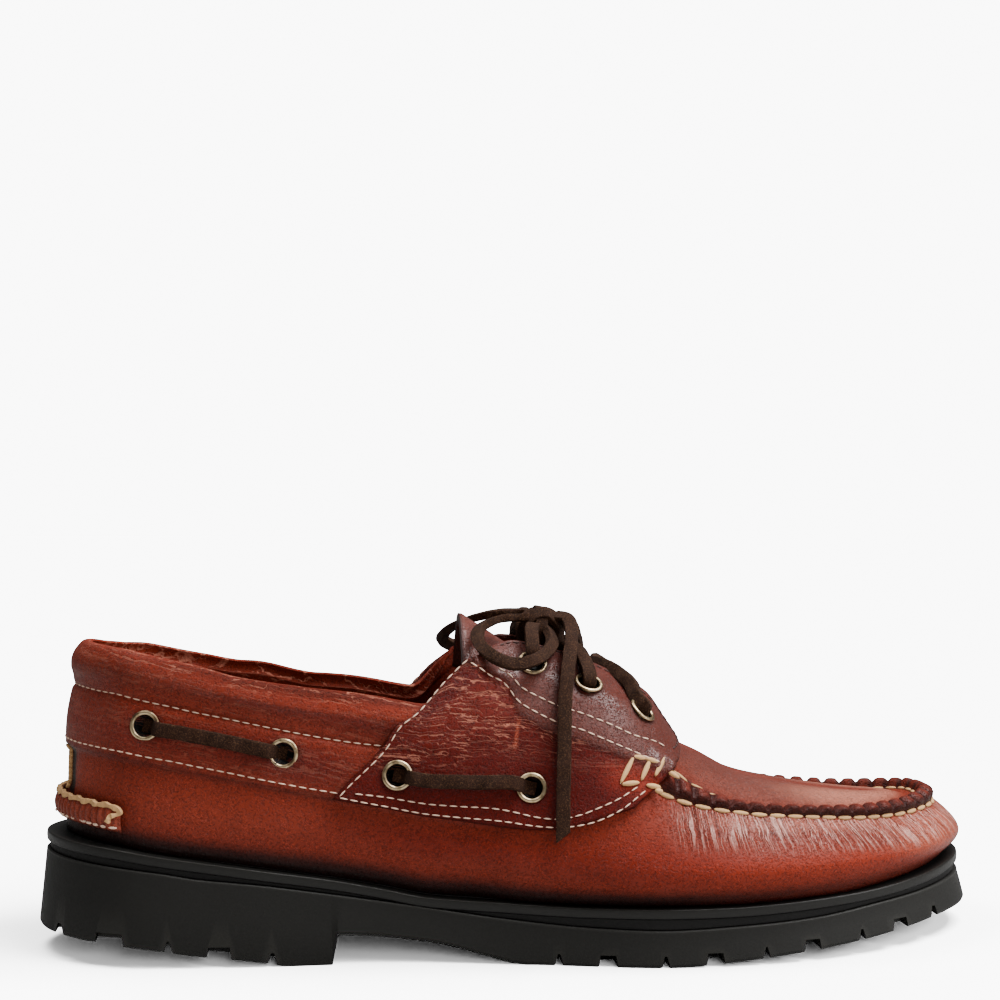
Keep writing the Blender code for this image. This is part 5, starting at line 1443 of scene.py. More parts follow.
bpy.ops.object.select_all(action="DESELECT")
bpy.ops.mesh.primitive_torus_add(major_radius=EYELET_RIM, minor_radius=EYELET_ROLL, major_segments=32,
                                 minor_segments=8)
rim_master = bpy.context.object
bpy.ops.mesh.primitive_cylinder_add(vertices=32, radius=EYELET_HOLE / 2 + 0.0003, depth=0.0028,
                                    end_fill_type="NOTHING", location=(0, 0, -0.0014))
barrel = bpy.context.object
bpy.ops.object.transform_apply(location=True)
bpy.ops.object.mode_set(mode="EDIT")
bpy.ops.mesh.select_all(action="SELECT")
bpy.ops.mesh.flip_normals()
bpy.ops.object.mode_set(mode="OBJECT")
rim_master.select_set(True)
bpy.context.view_layer.objects.active = rim_master
bpy.ops.object.join()
rim_points = points_of(rim_master)
rim_points[:, 2] = np.where(rim_points[:, 2] > -EYELET_ROLL * 1.01, rim_points[:, 2] * 0.72, rim_points[:, 2])
rim_faces = [list(face.vertices) for face in rim_master.data.polygons]
bpy.data.objects.remove(rim_master)

eyelets = []
for number, (name, centre, normal, on_saddle) in enumerate(EYELETS):
    axis = np.array((1.0, 0.0, 0.0)) - normal * normal[0]
    axis = axis / np.linalg.norm(axis)
    side = np.cross(normal, axis)
    placed = centre + normal * EYELET_SEAT + rim_points @ np.stack((axis, side, normal))
    mesh = bpy.data.meshes.new(name + "_brass")
    mesh.from_pydata(placed.tolist(), [], rim_faces)
    mesh.shade_smooth()
    eyelet = bpy.data.objects.new(name + "_brass", mesh)
    bpy.context.collection.objects.link(eyelet)
    finish_piece(eyelet, name, slot="antique_brass")
    eyelets.append(eyelet)

# %% [markdown]
# ## The rawhide lace
#
# One lace runs along each side through the four low eyelets, comes up to the facing, crosses the
# tongue and ends in a bow. It is a square-cut strip, so it is not a round bevelled curve: a
# rounded rectangle is swept along each route, and turns as little as it can on the way.

# %% Lace: sweeping a strip
STRIP_WIDE = 0.0042
STRIP_THICK = 0.0026
STRIP_ROUND = 0.28


def smooth_route(points, samples):
    """An open smooth curve through the points."""
    p = np.array(points, float)
    chord = np.concatenate(([0], np.cumsum(np.sqrt(np.linalg.norm(np.diff(p, axis=0), axis=1)))))
    rate = np.gradient(p, chord, axis=0)
    x = np.linspace(0, chord[-1], samples)
    i = np.clip(np.searchsorted(chord, x, side="right") - 1, 0, len(chord) - 2)
    h = np.diff(chord)[i][:, None]
    u = ((x - chord[i]) / np.diff(chord)[i])[:, None]
    return (p[i] * (2 * u**3 - 3 * u**2 + 1) + rate[i] * h * (u**3 - 2 * u**2 + u)
            + p[i + 1] * (3 * u**2 - 2 * u**3) + rate[i + 1] * h * (u**3 - u**2))


def even_route(points, step):
    fine = smooth_route(points, 800)
    run = np.concatenate(([0], np.cumsum(np.linalg.norm(np.diff(fine, axis=0), axis=1))))
    count = max(8, int(round(run[-1] / step)) + 1)
    at = np.linspace(0, run[-1], count)
    return np.stack([np.interp(at, run, fine[:, axis]) for axis in range(3)], 1), run[-1]


def strip_section(corner=4):
    """A rounded rectangle's outline, in shares of the strip's half width and half thickness."""
    outline = []
    for quarter in range(4):
        for k in range(corner):
            turn = math.pi / 2 * (quarter + k / (corner - 1))
            sx = 1 if quarter in (0, 3) else -1
            sy = 1 if quarter in (0, 1) else -1
            round_x = STRIP_ROUND * STRIP_THICK / STRIP_WIDE
            outline.append((sx * (1 - round_x) + round_x * math.cos(turn), sy * (1 - STRIP_ROUND)
                            + STRIP_ROUND * math.sin(turn)))
    return np.array(outline)


def along_of(route):
    step = np.gradient(route, axis=0)
    return step / np.linalg.norm(step, axis=1)[:, None]


def least_turning(route, first_out, twist=0.0):
    """Outward vectors along a route that turn as little as they can, plus an even twist."""
    along = along_of(route)
    out = np.asarray(first_out, float)
    found = []
    for direction in along:
        out = out - direction * (out @ direction)
        out = out / np.linalg.norm(out)
        found.append(out)
    found = np.array(found)
    side = np.cross(along, found)
    turn = np.linspace(0, twist, len(route))[:, None]
    return found * np.cos(turn) + side * np.sin(turn)


def sweep(name, route, out, wide=STRIP_WIDE, thick=STRIP_THICK, slant=0.0, rough=0.00012, seed=1):
    """A strip along a route, out is the direction its broad face looks."""
    section = strip_section()
    along = along_of(route)
    side = np.cross(along, out)
    side = side / np.linalg.norm(side, axis=1)[:, None]
    count, ring = len(route), len(section)
    wide = np.broadcast_to(wide, (count,))
    thick = np.broadcast_to(thick, (count,))
    grid = (route[:, None] + side[:, None] * (section[:, 0] * wide[:, None] / 2)[..., None]
            + out[:, None] * (section[:, 1] * thick[:, None] / 2)[..., None])
    run = np.concatenate(([0], np.cumsum(np.linalg.norm(np.diff(route, axis=0), axis=1))))
    jitter = rough * noise_sheet(run[:, None] / 0.0021 + seed * 7.3, np.arange(ring)[None, :] * 1.31 + seed, 60 + seed)
    grid = grid + (grid - route[:, None]) / (STRIP_WIDE / 2) * jitter[..., None]
    if slant:
        lean = slant * section[:, 0] * STRIP_WIDE / 2
        near_end = np.clip(1 - (run[-1] - run) / 0.006, 0, 1)
        grid = grid + along[:, None] * (lean[None, :] * near_end[:, None])[..., None]
    piece, column, row = flat_grid(name, count, ring + 1)
    closed = np.concatenate((grid, grid[:, :1]), 1)
    lay(piece, column, row, closed)
    edge = np.abs(np.concatenate((section, section[:1]))[:, 0])
    corner = np.clip((edge - 0.55) / 0.4, 0, 1)
    marks = np.stack((corner[row], run[column] * 10, np.zeros(len(row))), 1)
    set_colours(piece, "marks", marks)
    merge_points(piece, 1e-7)
    selected_only(piece)
    bpy.ops.object.mode_set(mode="EDIT")
    bpy.ops.mesh.select_all(action="DESELECT")
    bpy.ops.mesh.select_non_manifold()
    bpy.ops.mesh.edge_face_add()
    bpy.ops.mesh.select_all(action="SELECT")
    bpy.ops.mesh.normals_make_consistent(inside=False)
    bpy.ops.object.mode_set(mode="OBJECT")
    sharp_smooth(piece, 50)
    return piece


# %% Lace: along the sides
def side_bar(name, sign, first, last, over, replaced):
    """The strip's run between two low eyelets. Both ends dip down into the eyelets."""
    inner_reach = (EYELET_HOLE / 2 - 0.0002) / LENGTH
    at = np.linspace(first[0] - inner_reach * 0.4, last[0] + inner_reach * 0.4, 64)
    height = first[1] + (last[1] - first[1]) * (at - first[0]) / (last[0] - first[0])
    turn = sign * turn_of(at)
    lift = SADDLE_LIFT if over else 0.0
    base = smooth_surface(turn, height)
    normal = outward(turn, height)
    run = np.abs(at - first[0]) * LENGTH
    other = np.abs(last[0] - at) * LENGTH
    away = np.minimum(run, other)
    crown = 0.00062 + STRIP_THICK / 2 + 0.0009 * ease(0.0015, 0.0055, away)
    dip = 0.0046 * ease(0.0044, 0.0012, away)
    sag = 0.0006 * np.sin(np.pi * np.clip((at - first[0]) / (last[0] - first[0]), 0, 1))
    route = base + normal * (lift + crown - dip - sag)[:, None]
    piece = sweep(name, route, normal, seed=len(name))
    finish_piece(piece, replaced, slot="rawhide")
    return piece


laces = []
for side, sign in (("outer", -1), ("inner", 1)):
    laces.append(side_bar(f"lace_rear_{side}", sign, SIDE_EYELETS[0], SIDE_EYELETS[1], False, f"lace_side_{side}_rear"))
    laces.append(side_bar(f"lace_front_{side}", sign, SIDE_EYELETS[2], SIDE_EYELETS[3], True, f"lace_side_{side}_front"))

# %% Lace: over the throat
CROSS_ROUTE = ((0.0206, -0.0290, 0.0858), (0.0172, -0.0157, 0.0929), (0.0085, 0.0, 0.0918),
               (0.0032, 0.0072, 0.0907), (0.0023, 0.0098, 0.0897))
BAR_ROUTE = ((0.0352, -0.0262, 0.0782), (0.0340, -0.0220, 0.0820), (0.0314, -0.0170, 0.0847),
             (0.0284, -0.0120, 0.0864), (0.0262, -0.0060, 0.0868), (0.0255, 0.0, 0.0866))


def mirrored(route):
    return tuple((x, -y, z) for x, y, z in route)


def eyelet_named(name):
    return next((centre, normal) for found, centre, normal, _ in EYELETS if found == name)


def from_eyelet(name, route):
    """A route that starts down in an eyelet."""
    centre, normal = eyelet_named(name)
    start = centre - normal * 0.0022
    lip = centre + normal * 0.0016
    return (tuple(start), tuple(lip)) + tuple(route)


bar_line = from_eyelet("eyelet_outer_facing_3", BAR_ROUTE)
bar_back = from_eyelet("eyelet_inner_facing_3", mirrored(BAR_ROUTE[:-1]))
bar_route, _ = even_route(bar_line + bar_back[::-1], 0.0008)
bar = sweep("lace_front_bar", bar_route, least_turning(bar_route, (0.55, -0.5, 0.6)), seed=3)
finish_piece(bar, "lace_bar", slot="rawhide")
laces.append(bar)

over_route, _ = even_route(from_eyelet("eyelet_outer_facing_2", CROSS_ROUTE[1:]), 0.0008)
under_route, _ = even_route(from_eyelet("eyelet_inner_facing_2", mirrored(CROSS_ROUTE[1:])), 0.0008)
under_route[:, 2] -= 0.0016 * np.exp(-(under_route[:, 1] / 0.006)**2)
over_route[:, 2] += 0.0012 * np.exp(-(over_route[:, 1] / 0.006)**2)
for name, route, first, old in (("lace_cross_over", over_route, (0.2, -0.4, 0.9), ("lace_crossing",)),
                                ("lace_cross_under", under_route, (0.2, 0.4, 0.9), ())):
    strand = sweep(name, route, least_turning(route, first), seed=len(name))
    finish_piece(strand, *old, slot="rawhide")
    laces.append(strand)

# %% [markdown]
# The two strands come up out of the top eyelets and are tied in a bow over the tongue. Loops and
# ends are free cord. Each runs on, hidden, into the knot at its start, a loop at both its ends,
# and its length is printed.

# %% Lace: bow
BOW_ROUTES = {
    "lace_riser_outer": ((0.0027, -0.0236, 0.0892), (0.0027, -0.0238, 0.0932), (0.0030, -0.0178, 0.0985),
                         (0.0052, -0.0088, 0.0996), (0.0066, -0.0046, 0.0990)),
    "lace_riser_inner": ((0.0027, 0.0236, 0.0892), (0.0027, 0.0238, 0.0932), (0.0028, 0.0168, 0.0980),
                         (0.0061, 0.0018, 0.0985)),
    "lace_loop_outer": ((0.0028, -0.0080, 0.1023), (-0.0061, -0.0090, 0.1019), (-0.0126, -0.0138, 0.0996),
                        (-0.0144, -0.0210, 0.0972), (-0.0134, -0.0276, 0.0942), (-0.0092, -0.0310, 0.0912),
                        (-0.0037, -0.0312, 0.0895), (0.0025, -0.0300, 0.0906), (0.0077, -0.0238, 0.0932),
                        (0.0098, -0.0165, 0.0956), (0.0092, -0.0100, 0.0985)),
    "lace_loop_inner": ((0.0035, 0.0030, 0.1032), (-0.0046, 0.0050, 0.1029), (-0.0114, 0.0100, 0.1013),
                        (-0.0176, 0.0160, 0.0986), (-0.0212, 0.0220, 0.0955), (-0.0219, 0.0275, 0.0925),
                        (-0.0175, 0.0320, 0.0900), (-0.0090, 0.0335, 0.0888), (0.0020, 0.0320, 0.0898),
                        (0.0085, 0.0240, 0.0945), (0.0098, 0.0130, 0.0985), (0.0090, 0.0048, 0.0998)),
    "lace_end_outer": ((0.0122, -0.0080, 0.1023), (0.0152, -0.0100, 0.1018), (0.0163, -0.0140, 0.0992),
                       (0.0152, -0.0215, 0.0945), (0.0132, -0.0290, 0.0882), (0.0114, -0.0350, 0.0787),
                       (0.0104, -0.0400, 0.0670), (0.0094, -0.0448, 0.0527), (0.0088, -0.0485, 0.0392)),
    "lace_end_inner": ((0.0125, 0.0020, 0.1020), (0.0185, 0.0080, 0.0995), (0.0225, 0.0180, 0.0925),
                       (0.0245, 0.0270, 0.0840), (0.0245, 0.0330, 0.0750), (0.0235, 0.0390, 0.0650),
                       (0.0220, 0.0438, 0.0560), (0.0210, 0.0472, 0.0460), (0.0205, 0.0490, 0.0390)),
}
FIRST_OUT = {
    "lace_riser_outer": (0.0, -1.0, 0.1), "lace_riser_inner": (0.0, 1.0, 0.1),
    "lace_loop_outer": (0.0, 0.15, 1.0), "lace_loop_inner": (0.0, -0.1, 1.0),
    "lace_end_outer": (0.2, -0.6, 0.8), "lace_end_inner": (0.5, 0.5, 0.6),
}
CORD_ENDS = {"lace_loop_outer": "knot", "lace_loop_inner": "knot", "lace_end_outer": "bare",
             "lace_end_inner": "bare"}
KNOT_CENTRE = np.array((0.0076, -0.0030, 0.0986))
for name, points in BOW_ROUTES.items():
    route, length = even_route(points, 0.0008)
    wide, thick = (0.0038, 0.0024) if "loop" in name else (STRIP_WIDE, STRIP_THICK)
    turned = least_turning(route, FIRST_OUT[name])
    piece = sweep(name + "_strip", route, turned, wide, thick, seed=len(name),
                  slant=0.8 if name == "lace_end_outer" else 0.0)
    if name in CORD_ENDS:
        ends = [(route[:3], turned[0])]
        if "loop" in name:
            ends.append((route[:-4:-1], turned[-1]))
        for number, (near, out) in enumerate(ends):
            inner = 0.35 * near[0] + 0.65 * KNOT_CENTRE
            hidden, _ = even_route((inner, 0.5 * (inner + near[0]), near[0], near[2]), 0.0007)
            tuck = sweep(f"{name}_tuck_{number}", hidden, least_turning(hidden, out), wide * 0.95, thick * 0.95)
            finish_piece(tuck, slot="rawhide")
            laces.append(tuck)
    finish_piece(piece, name, slot="rawhide")
    laces.append(piece)
    if name in CORD_ENDS:
        print(name, "cord", round(length * 1000, 1), "mm")

# %% Lace: knot
KNOT_WRAP = (
    ("knot_wrap_front", ((-0.0052, -0.0030, -0.0062), (-0.0056, -0.0052, 0.0000), (-0.0022, -0.0060, 0.0044),
                         (0.0020, -0.0058, 0.0046), (0.0052, -0.0050, 0.0010), (0.0052, -0.0036, -0.0040)),
     (-0.8, -0.6, 0.0)),
    ("knot_wrap_middle", ((-0.0006, -0.0040, -0.0066), (-0.0008, -0.0062, -0.0040), (-0.0006, -0.0074, 0.0006),
                          (-0.0002, -0.0060, 0.0036), (0.0000, -0.0026, 0.0054), (0.0, 0.0030, 0.0052),
                          (0.0, 0.0066, 0.0020), (0.0, 0.0064, -0.0030)),
     (0.0, -1.0, -0.3)),
    ("knot_wrap_back", ((-0.0050, 0.0030, -0.0050), (-0.0054, 0.0046, 0.0004), (-0.0020, 0.0052, 0.0040),
                        (0.0022, 0.0050, 0.0040), (0.0052, 0.0044, 0.0004), (0.0050, 0.0032, -0.0044)),
     (-0.8, 0.6, 0.0)),
)
bpy.ops.object.select_all(action="DESELECT")
bpy.ops.mesh.primitive_uv_sphere_add(segments=24, ring_count=14, radius=0.5)
knot = bpy.context.object
knot.name = knot.data.name = "knot_core"
core = points_of(knot) * np.array((0.0088, 0.0078, 0.0088)) + KNOT_CENTRE
knot.data.vertices.foreach_set("co", core.ravel())
knot.data.update()
set_colours(knot, "marks", np.zeros((len(core), 3)))
smooth(knot)
finish_piece(knot, "lace_knot", slot="rawhide")
laces.append(knot)
for number, (name, points, first) in enumerate(KNOT_WRAP):
    route, _ = even_route(np.array(points) + KNOT_CENTRE, 0.0007)
    wrap = sweep(name, route, least_turning(route, first), seed=30 + number, wide=0.0040, thick=0.0026)
    finish_piece(wrap, slot="rawhide")
    laces.append(wrap)

# %% [markdown]
# ## Stitches
#
# Seams could be textures, but their threads catch light and throw small shadows. Each stitch is a
# low, plump spindle made from one small sphere, laid from hole to hole along its seam and sunk
# a little into the leather. All stitches of one thread are joined as one piece.

# %% Stitch maker
bpy.ops.object.select_all(action="DESELECT")
bpy.ops.mesh.primitive_uv_sphere_add(segments=6, ring_count=5, radius=1.0)
spindle = bpy.context.object
spindle_points = points_of(spindle)[:, [2, 0, 1]]
spindle_points[:, 0] = np.sign(spindle_points[:, 0]) * np.abs(spindle_points[:, 0])**1.15
spindle_faces = np.array([list(face.vertices) + [-1] * (4 - len(face.vertices)) for face in spindle.data.polygons])
bpy.data.objects.remove(spindle)
THREAD_SUNK = 0.22


def stitches_of(name, starts, ends, normals, wide, thick, lift=0.0):
    """One piece of many stitches, from each start to each end."""
    starts, ends, normals = (np.asarray(a, float) for a in (starts, ends, normals))
    along = ends - starts
    length = np.linalg.norm(along, axis=1)[:, None]
    along = along / length
    side, out = frame_along(along, normals)
    wide = np.broadcast_to(wide, (len(starts),))[:, None, None]
    thick = np.broadcast_to(thick, (len(starts),))[:, None, None]
    middle = (starts + ends) / 2 + out * (lift + thick[:, :, 0] * (0.5 - THREAD_SUNK))
    body = (middle[:, None] + along[:, None] * spindle_points[None, :, 0, None] * length[:, None] / 2
            + side[:, None] * spindle_points[None, :, 1, None] * wide / 2
            + out[:, None] * spindle_points[None, :, 2, None] * thick / 2)
    count = len(spindle_points)
    faces = []
    for n in range(len(starts)):
        for face in spindle_faces:
            faces.append([int(k) + n * count for k in face if k >= 0])
    mesh = bpy.data.meshes.new(name)
    mesh.from_pydata(body.reshape(-1, 3).tolist(), [], faces)
    mesh.shade_smooth()
    piece = bpy.data.objects.new(name, mesh)
    bpy.context.collection.objects.link(piece)
    face_outwards(piece)
    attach(piece, "root")
    print(name, len(starts), "stitches")
    return piece


def path_on_leather(places, sign, lift=0.0, over=False, samples=1200):
    """A fine path through (share of the length, height) places on one side. For a path round
    the heel, places give signed turns instead and sign is None."""
    p = np.array(places, float)
    chord = np.concatenate(([0], np.cumsum(np.hypot(np.diff(p[:, 0]) * 3, np.diff(p[:, 1])))))
    x = np.linspace(0, chord[-1], samples)
    rows = [(k, a, b) for k, (a, b) in zip(chord, p)]
    place = monotone(rows, (1, 2), x)
    turn = place[:, 0] if sign is None else sign * turn_of(place[:, 0])
    return skin(turn, place[:, 1], lift, over)


def along_path(points, normals, pitch, length, offset=0.5):
    """Starts, ends and normals of stitches at an even pitch along a path."""
    run = np.concatenate(([0], np.cumsum(np.linalg.norm(np.diff(points, axis=0), axis=1))))
    count = max(1, int(run[-1] / pitch))
    middle = (np.arange(count) + offset) * run[-1] / count

    def at(s, values):
        return np.stack([np.interp(s, run, values[:, axis]) for axis in range(3)], 1)
    return at(middle - length / 2, points), at(middle + length / 2, points), at(middle, normals)


def sew(name, paths, pitch, length, wide, thick):
    parts = [along_path(points, normals, pitch, length) for points, normals in paths]
    starts, ends, normals = (np.concatenate([part[k] for part in parts]) for k in range(3))
    return stitches_of(name, starts, ends, normals, wide, thick)


# %% Machine seams
FINE_PITCH = 0.0031
FINE_LONG = 0.0025
FINE_WIDE = 0.00048
FINE_THICK = 0.00044
SADDLE_REAR_SEAM = ((0.309, 0.338), (0.319, 0.381), (0.358, 0.519), (0.384, 0.78), (0.397, 0.906), (0.440, 0.995))
SADDLE_FOOT_UPPER = ((0.324, 0.360), (0.360, 0.363), (0.443, 0.363), (0.525, 0.338), (0.545, 0.347), (0.565, 0.366),
                     (0.583, 0.392), (0.600, 0.430))
SADDLE_FOOT_LOWER = ((0.309, 0.338), (0.340, 0.333), (0.372, 0.331), (0.443, 0.331), (0.525, 0.316), (0.555, 0.325),
                     (0.581, 0.356), (0.608, 0.425))
FACING_SEAM_UPPER = ((0.450, 0.98), (0.458, 0.86), (0.468, 0.72), (0.484, 0.588), (0.525, 0.546), (0.545, 0.549),
                     (0.586, 0.546), (0.630, 0.590))
FACING_SEAM_LOWER = ((0.440, 0.96), (0.448, 0.84), (0.460, 0.68), (0.484, 0.537), (0.525, 0.508), (0.545, 0.512),
                     (0.581, 0.508), (0.621, 0.513))
FACING_RIM_SEAM = ((0.470, 0.965), (0.520, 0.968), (0.570, 0.960), (0.606, 0.944), (0.632, 0.928), (0.648, 0.890),
                   (0.6535, 0.82), (0.650, 0.74), (0.640, 0.631))
BAR_TACK = (((0.582, 0.424), (0.594, 0.500)), ((0.602, 0.444), (0.611, 0.513)), ((0.616, 0.468), (0.627, 0.545)),
            ((0.593, 0.497), (0.607, 0.509)), ((0.605, 0.507), (0.620, 0.512)), ((0.583, 0.424), (0.601, 0.440)),
            ((0.607, 0.438), (0.625, 0.450)), ((0.617, 0.432), (0.627, 0.438)), ((0.627, 0.505), (0.641, 0.500)))
FACING_LIFT = SADDLE_LIFT + FACING_STEP

round_turns = np.linspace(-float(turn_of(0.392)), float(turn_of(0.392)), 900)
round_low = np.linspace(-float(turn_of(0.309)), float(turn_of(0.309)), 900)
threads = {"cream": [], "hand": [], "dark": []}
collar_path = skin(round_turns, line(COLLAR_SEAM, round_turns) + 0.004)
band_path = skin(round_low, line(BAND_SEAM, round_low) + 0.016)
threads["cream"].append(sew("stitches_collar", [collar_path], FINE_PITCH, FINE_LONG, FINE_WIDE, FINE_THICK))
threads["cream"].append(sew("stitches_band", [band_path], FINE_PITCH, FINE_LONG, FINE_WIDE, FINE_THICK))
for side, sign in (("outer", -1), ("inner", 1)):
    cream_paths = [path_on_leather(places, sign, SADDLE_LIFT, True)
                   for places in (SADDLE_REAR_SEAM, SADDLE_FOOT_UPPER, SADDLE_FOOT_LOWER)]
    cream_paths += [path_on_leather(FACING_SEAM_UPPER, sign, FACING_LIFT, True),
                    path_on_leather(FACING_SEAM_LOWER, sign, FACING_LIFT, True)]
    threads["cream"].append(sew("stitches_saddle_" + side, cream_paths, FINE_PITCH, FINE_LONG, FINE_WIDE, FINE_THICK))
    rim_path = path_on_leather(FACING_RIM_SEAM, sign, FACING_LIFT, True)
    threads["dark"].append(sew("stitches_rim_" + side, [rim_path], 0.0028, 0.0021, 0.0007, 0.0005))
    tack_places = [skin(sign * turn_of(np.array([a[0], b[0]])), np.array([a[1], b[1]]), SADDLE_LIFT, True)
                   for a, b in BAR_TACK]
    threads["hand"].append(stitches_of("bar_tack_" + side, [p[0][0] for p in tack_places],
                                       [p[0][1] for p in tack_places], [p[1][0] for p in tack_places],
                                       0.0018, 0.0014))

# %% [markdown]
# The moccasin seam is sewn by hand with thick waxed thread. Below the roll each stitch shows as a
# long slanted lens in its pucker, and on the plug's side as a shorter one. The kicker is whipped
# the same way.

# %% Hand seam and kicker
numbers = np.arange(-SEAM_STITCHES // 2 + 1, SEAM_STITCHES // 2)
fine_phase = stitch_phase(turns_fine)
order = np.argsort(fine_phase)


def turn_at_phase(phase):
    return wrapped(np.interp(phase, fine_phase[order], np.where(turns_fine[order] < 0, turns_fine[order] + 2,
                                                               turns_fine[order])))


def hand_row(name, rise_start, rise_end, start_phase, end_phase, wide, thick):
    first = turn_at_phase(numbers + start_phase)
    last = turn_at_phase(numbers + end_phase)
    start_height = line(SEAM_THREAD, first) + rise_start
    end_height = line(SEAM_THREAD, last) + rise_end
    start_points, normals = skin(first, start_height)
    end_points, _ = skin(last, end_height)
    return stitches_of(name, start_points, end_points, normals, wide, thick)


threads["hand"].append(hand_row("hand_stitches_below", 0.004, -0.002, 0.03, 0.95, 0.0018, 0.0014))
threads["hand"].append(hand_row("hand_stitches_above", 0.134, 0.134, 0.06, 0.90, 0.0014, 0.0010))


def on_kicker(turn, height, lift=0.0):
    rise = GAP + 0.0002 + kicker_rise(turn, height) + lift
    return smooth_surface(turn, height) + outward(turn, height) * rise[:, None], outward(turn, height)


kicker_run = np.linspace(-float(turn_of(KICKER_END * 0.98)), float(turn_of(KICKER_END * 0.98)), 600)
threads["cream"].append(sew("stitches_kicker", [on_kicker(kicker_run, np.full(600, 0.086))], 0.0037, 0.0030,
                            0.0009, 0.0007))

# The whipping thread waves along the kicker's top and hooks down round each of its ends
WHIP_WIDE = 0.0014
WHIP_HOOK = ((0.965, -0.001), (1.000, -0.010), (0.995, -0.024), (0.955, -0.036), (0.940, -0.060))
kicker_reach = float(turn_of(KICKER_END))
whip_waves = [(share, 0.0028 * (-1)**n) for n, share in enumerate(np.linspace(-0.90, 0.90, 26))]
whip_places = [(-share, fall) for share, fall in WHIP_HOOK[::-1]] + whip_waves + list(WHIP_HOOK)
whip_course = smooth_route([(share * kicker_reach, KICKER_HIGH - 0.004 + fall) for share, fall in whip_places], 420)
whip_points, whip_out = on_kicker(whip_course[:, 0], whip_course[:, 1], WHIP_WIDE * 0.25)
whip_bulge = 1 + 0.22 * np.cos(np.linspace(0, 54 * math.pi, 420))
kicker_whip = sweep("kicker_whip", whip_points, whip_out, wide=WHIP_WIDE * whip_bulge, thick=WHIP_WIDE * 0.85)
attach(kicker_whip, "root")
threads["hand"].append(kicker_whip)

# The back strap's edges are closed by a cord on each side
for side, sign in (("outer", -1), ("inner", 1)):
    back_heights = np.linspace(0.185, 0.338, 90)
    back_turn = sign * np.interp(HEEL_SLIT[0] - 0.0016 + 0.0003 * np.cos(back_heights * 330), heel_run, heel_turns)
    back_points, back_out = skin(back_turn, back_heights)
    cord = sweep("heel_cord_" + side, back_points + back_out * 0.0005, back_out, wide=0.0010, thick=0.0011)
    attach(cord, "root")
    threads["hand"].append(cord)

# %% [markdown]
# ## Shader arithmetic
#
# The finishes are sums and products of noises and masks. A small class wraps a node's output, so
# that they can be written as ordinary arithmetic. Colours and directions are mixed by Mix and
# Vector Math nodes, and one method makes any other node.

# %% A small shader language
class Number:
    """A number or colour inside a shader."""

    def __init__(self, tree, socket):
        self.tree = tree
        self.socket = socket

    def node(self, kind, inputs, output=0, **settings):
        made = self.tree.nodes.new(kind)
        for key, value in settings.items():
            setattr(made, key, value)
        for key, value in inputs.items():
            target = made.inputs[key]
            if isinstance(value, Number):
                self.tree.links.new(value.socket, target)
            else:
                target.default_value = value
        return Number(self.tree, made.outputs[output])

    def maths(self, operation, *others, clamp=False):
        inputs = {index: value for index, value in enumerate((self,) + others)}
        return self.node("ShaderNodeMath", inputs, operation=operation, use_clamp=clamp)

    def __add__(self, other):
        return self.maths("ADD", other)

    def __mul__(self, other):
        return self.maths("MULTIPLY", other)

    def __sub__(self, other):
        return self.maths("SUBTRACT", other)

    def __truediv__(self, other):
        return self.maths("DIVIDE", other)

    def __rsub__(self, other):
        return self.maths("MULTIPLY", -1.0).maths("ADD", other)

    def __pow__(self, other):
        return self.maths("POWER", other)

    __radd__ = __add__
    __rmul__ = __mul__

    def between(self, low, high):
        """0 below low, 1 above high, soft between."""
        return self.node("ShaderNodeMapRange", {0: self, 1: low, 2: high}, interpolation_type="SMOOTHSTEP")

    def mix(self, first, second):
        """first where this is 0, second where it is 1."""
        return self.node("ShaderNodeMix", {0: self, 6: first, 7: second}, output=2, data_type="RGBA")

    def times(self, colour):
        """This colour multiplied by another, or by a number."""
        return self.node("ShaderNodeVectorMath", {0: self, 1: colour}, operation="MULTIPLY")

    def scaled(self, factor):
        return self.node("ShaderNodeVectorMath", {0: self, 3: factor}, operation="SCALE")


def start(name):
    """A new material, its shader and a starting value: the place on the object."""
    material = bpy.data.materials.new(name)
    material.use_nodes = True
    tree = material.node_tree
    shader = tree.nodes["Principled BSDF"]
    place = Number(tree, tree.nodes.new("ShaderNodeTexCoord").outputs["Object"])
    return material, shader, place


def give(material, shader, **inputs):
    for key, value in inputs.items():
        target = shader.inputs[key.replace("_", " ")]
        if isinstance(value, Number):
            material.node_tree.links.new(value.socket, target)
        else:
            target.default_value = value


def attribute(place, name, output="Color"):
    node = place.tree.nodes.new("ShaderNodeAttribute")
    node.attribute_name = name
    return Number(place.tree, node.outputs[output])


def channels(value):
    node = value.tree.nodes.new("ShaderNodeSeparateColor")
    value.tree.links.new(value.socket, node.inputs[0])
    return [Number(value.tree, socket) for socket in node.outputs]


def noise(place, scale, detail=3.0, roughness=0.55, stretch=None):
    where = place if stretch is None else place.times(stretch)
    return where.node("ShaderNodeTexNoise", {"Vector": where, "Scale": scale, "Detail": detail,
                                             "Roughness": roughness})


def cells(place, scale, feature="F1", randomness=1.0):
    return place.node("ShaderNodeTexVoronoi", {"Vector": place, "Scale": scale, "Randomness": randomness},
                      feature=feature)


def bump(height, distance, strength=1.0, before=None):
    inputs = {"Height": height, "Distance": distance, "Strength": strength}
    if before is not None:
        inputs["Normal"] = before
    return height.node("ShaderNodeBump", inputs)


# %% [markdown]
# ## Pull-up leather
#
# The dye comes from the painted zones, some of which are painted highlights. Its grain is a field
# of small rounded cells with darker valleys. Where the leather bends, fine wavy lines run across
# and their crests are paler, since the oil is pushed aside there. The gathers under the seam get
# a painted highlight on their crests and painted shade in their troughs. Faint blotches break up
# the sheen, and the rims are paler, partly from wear and partly from a painted highlight.

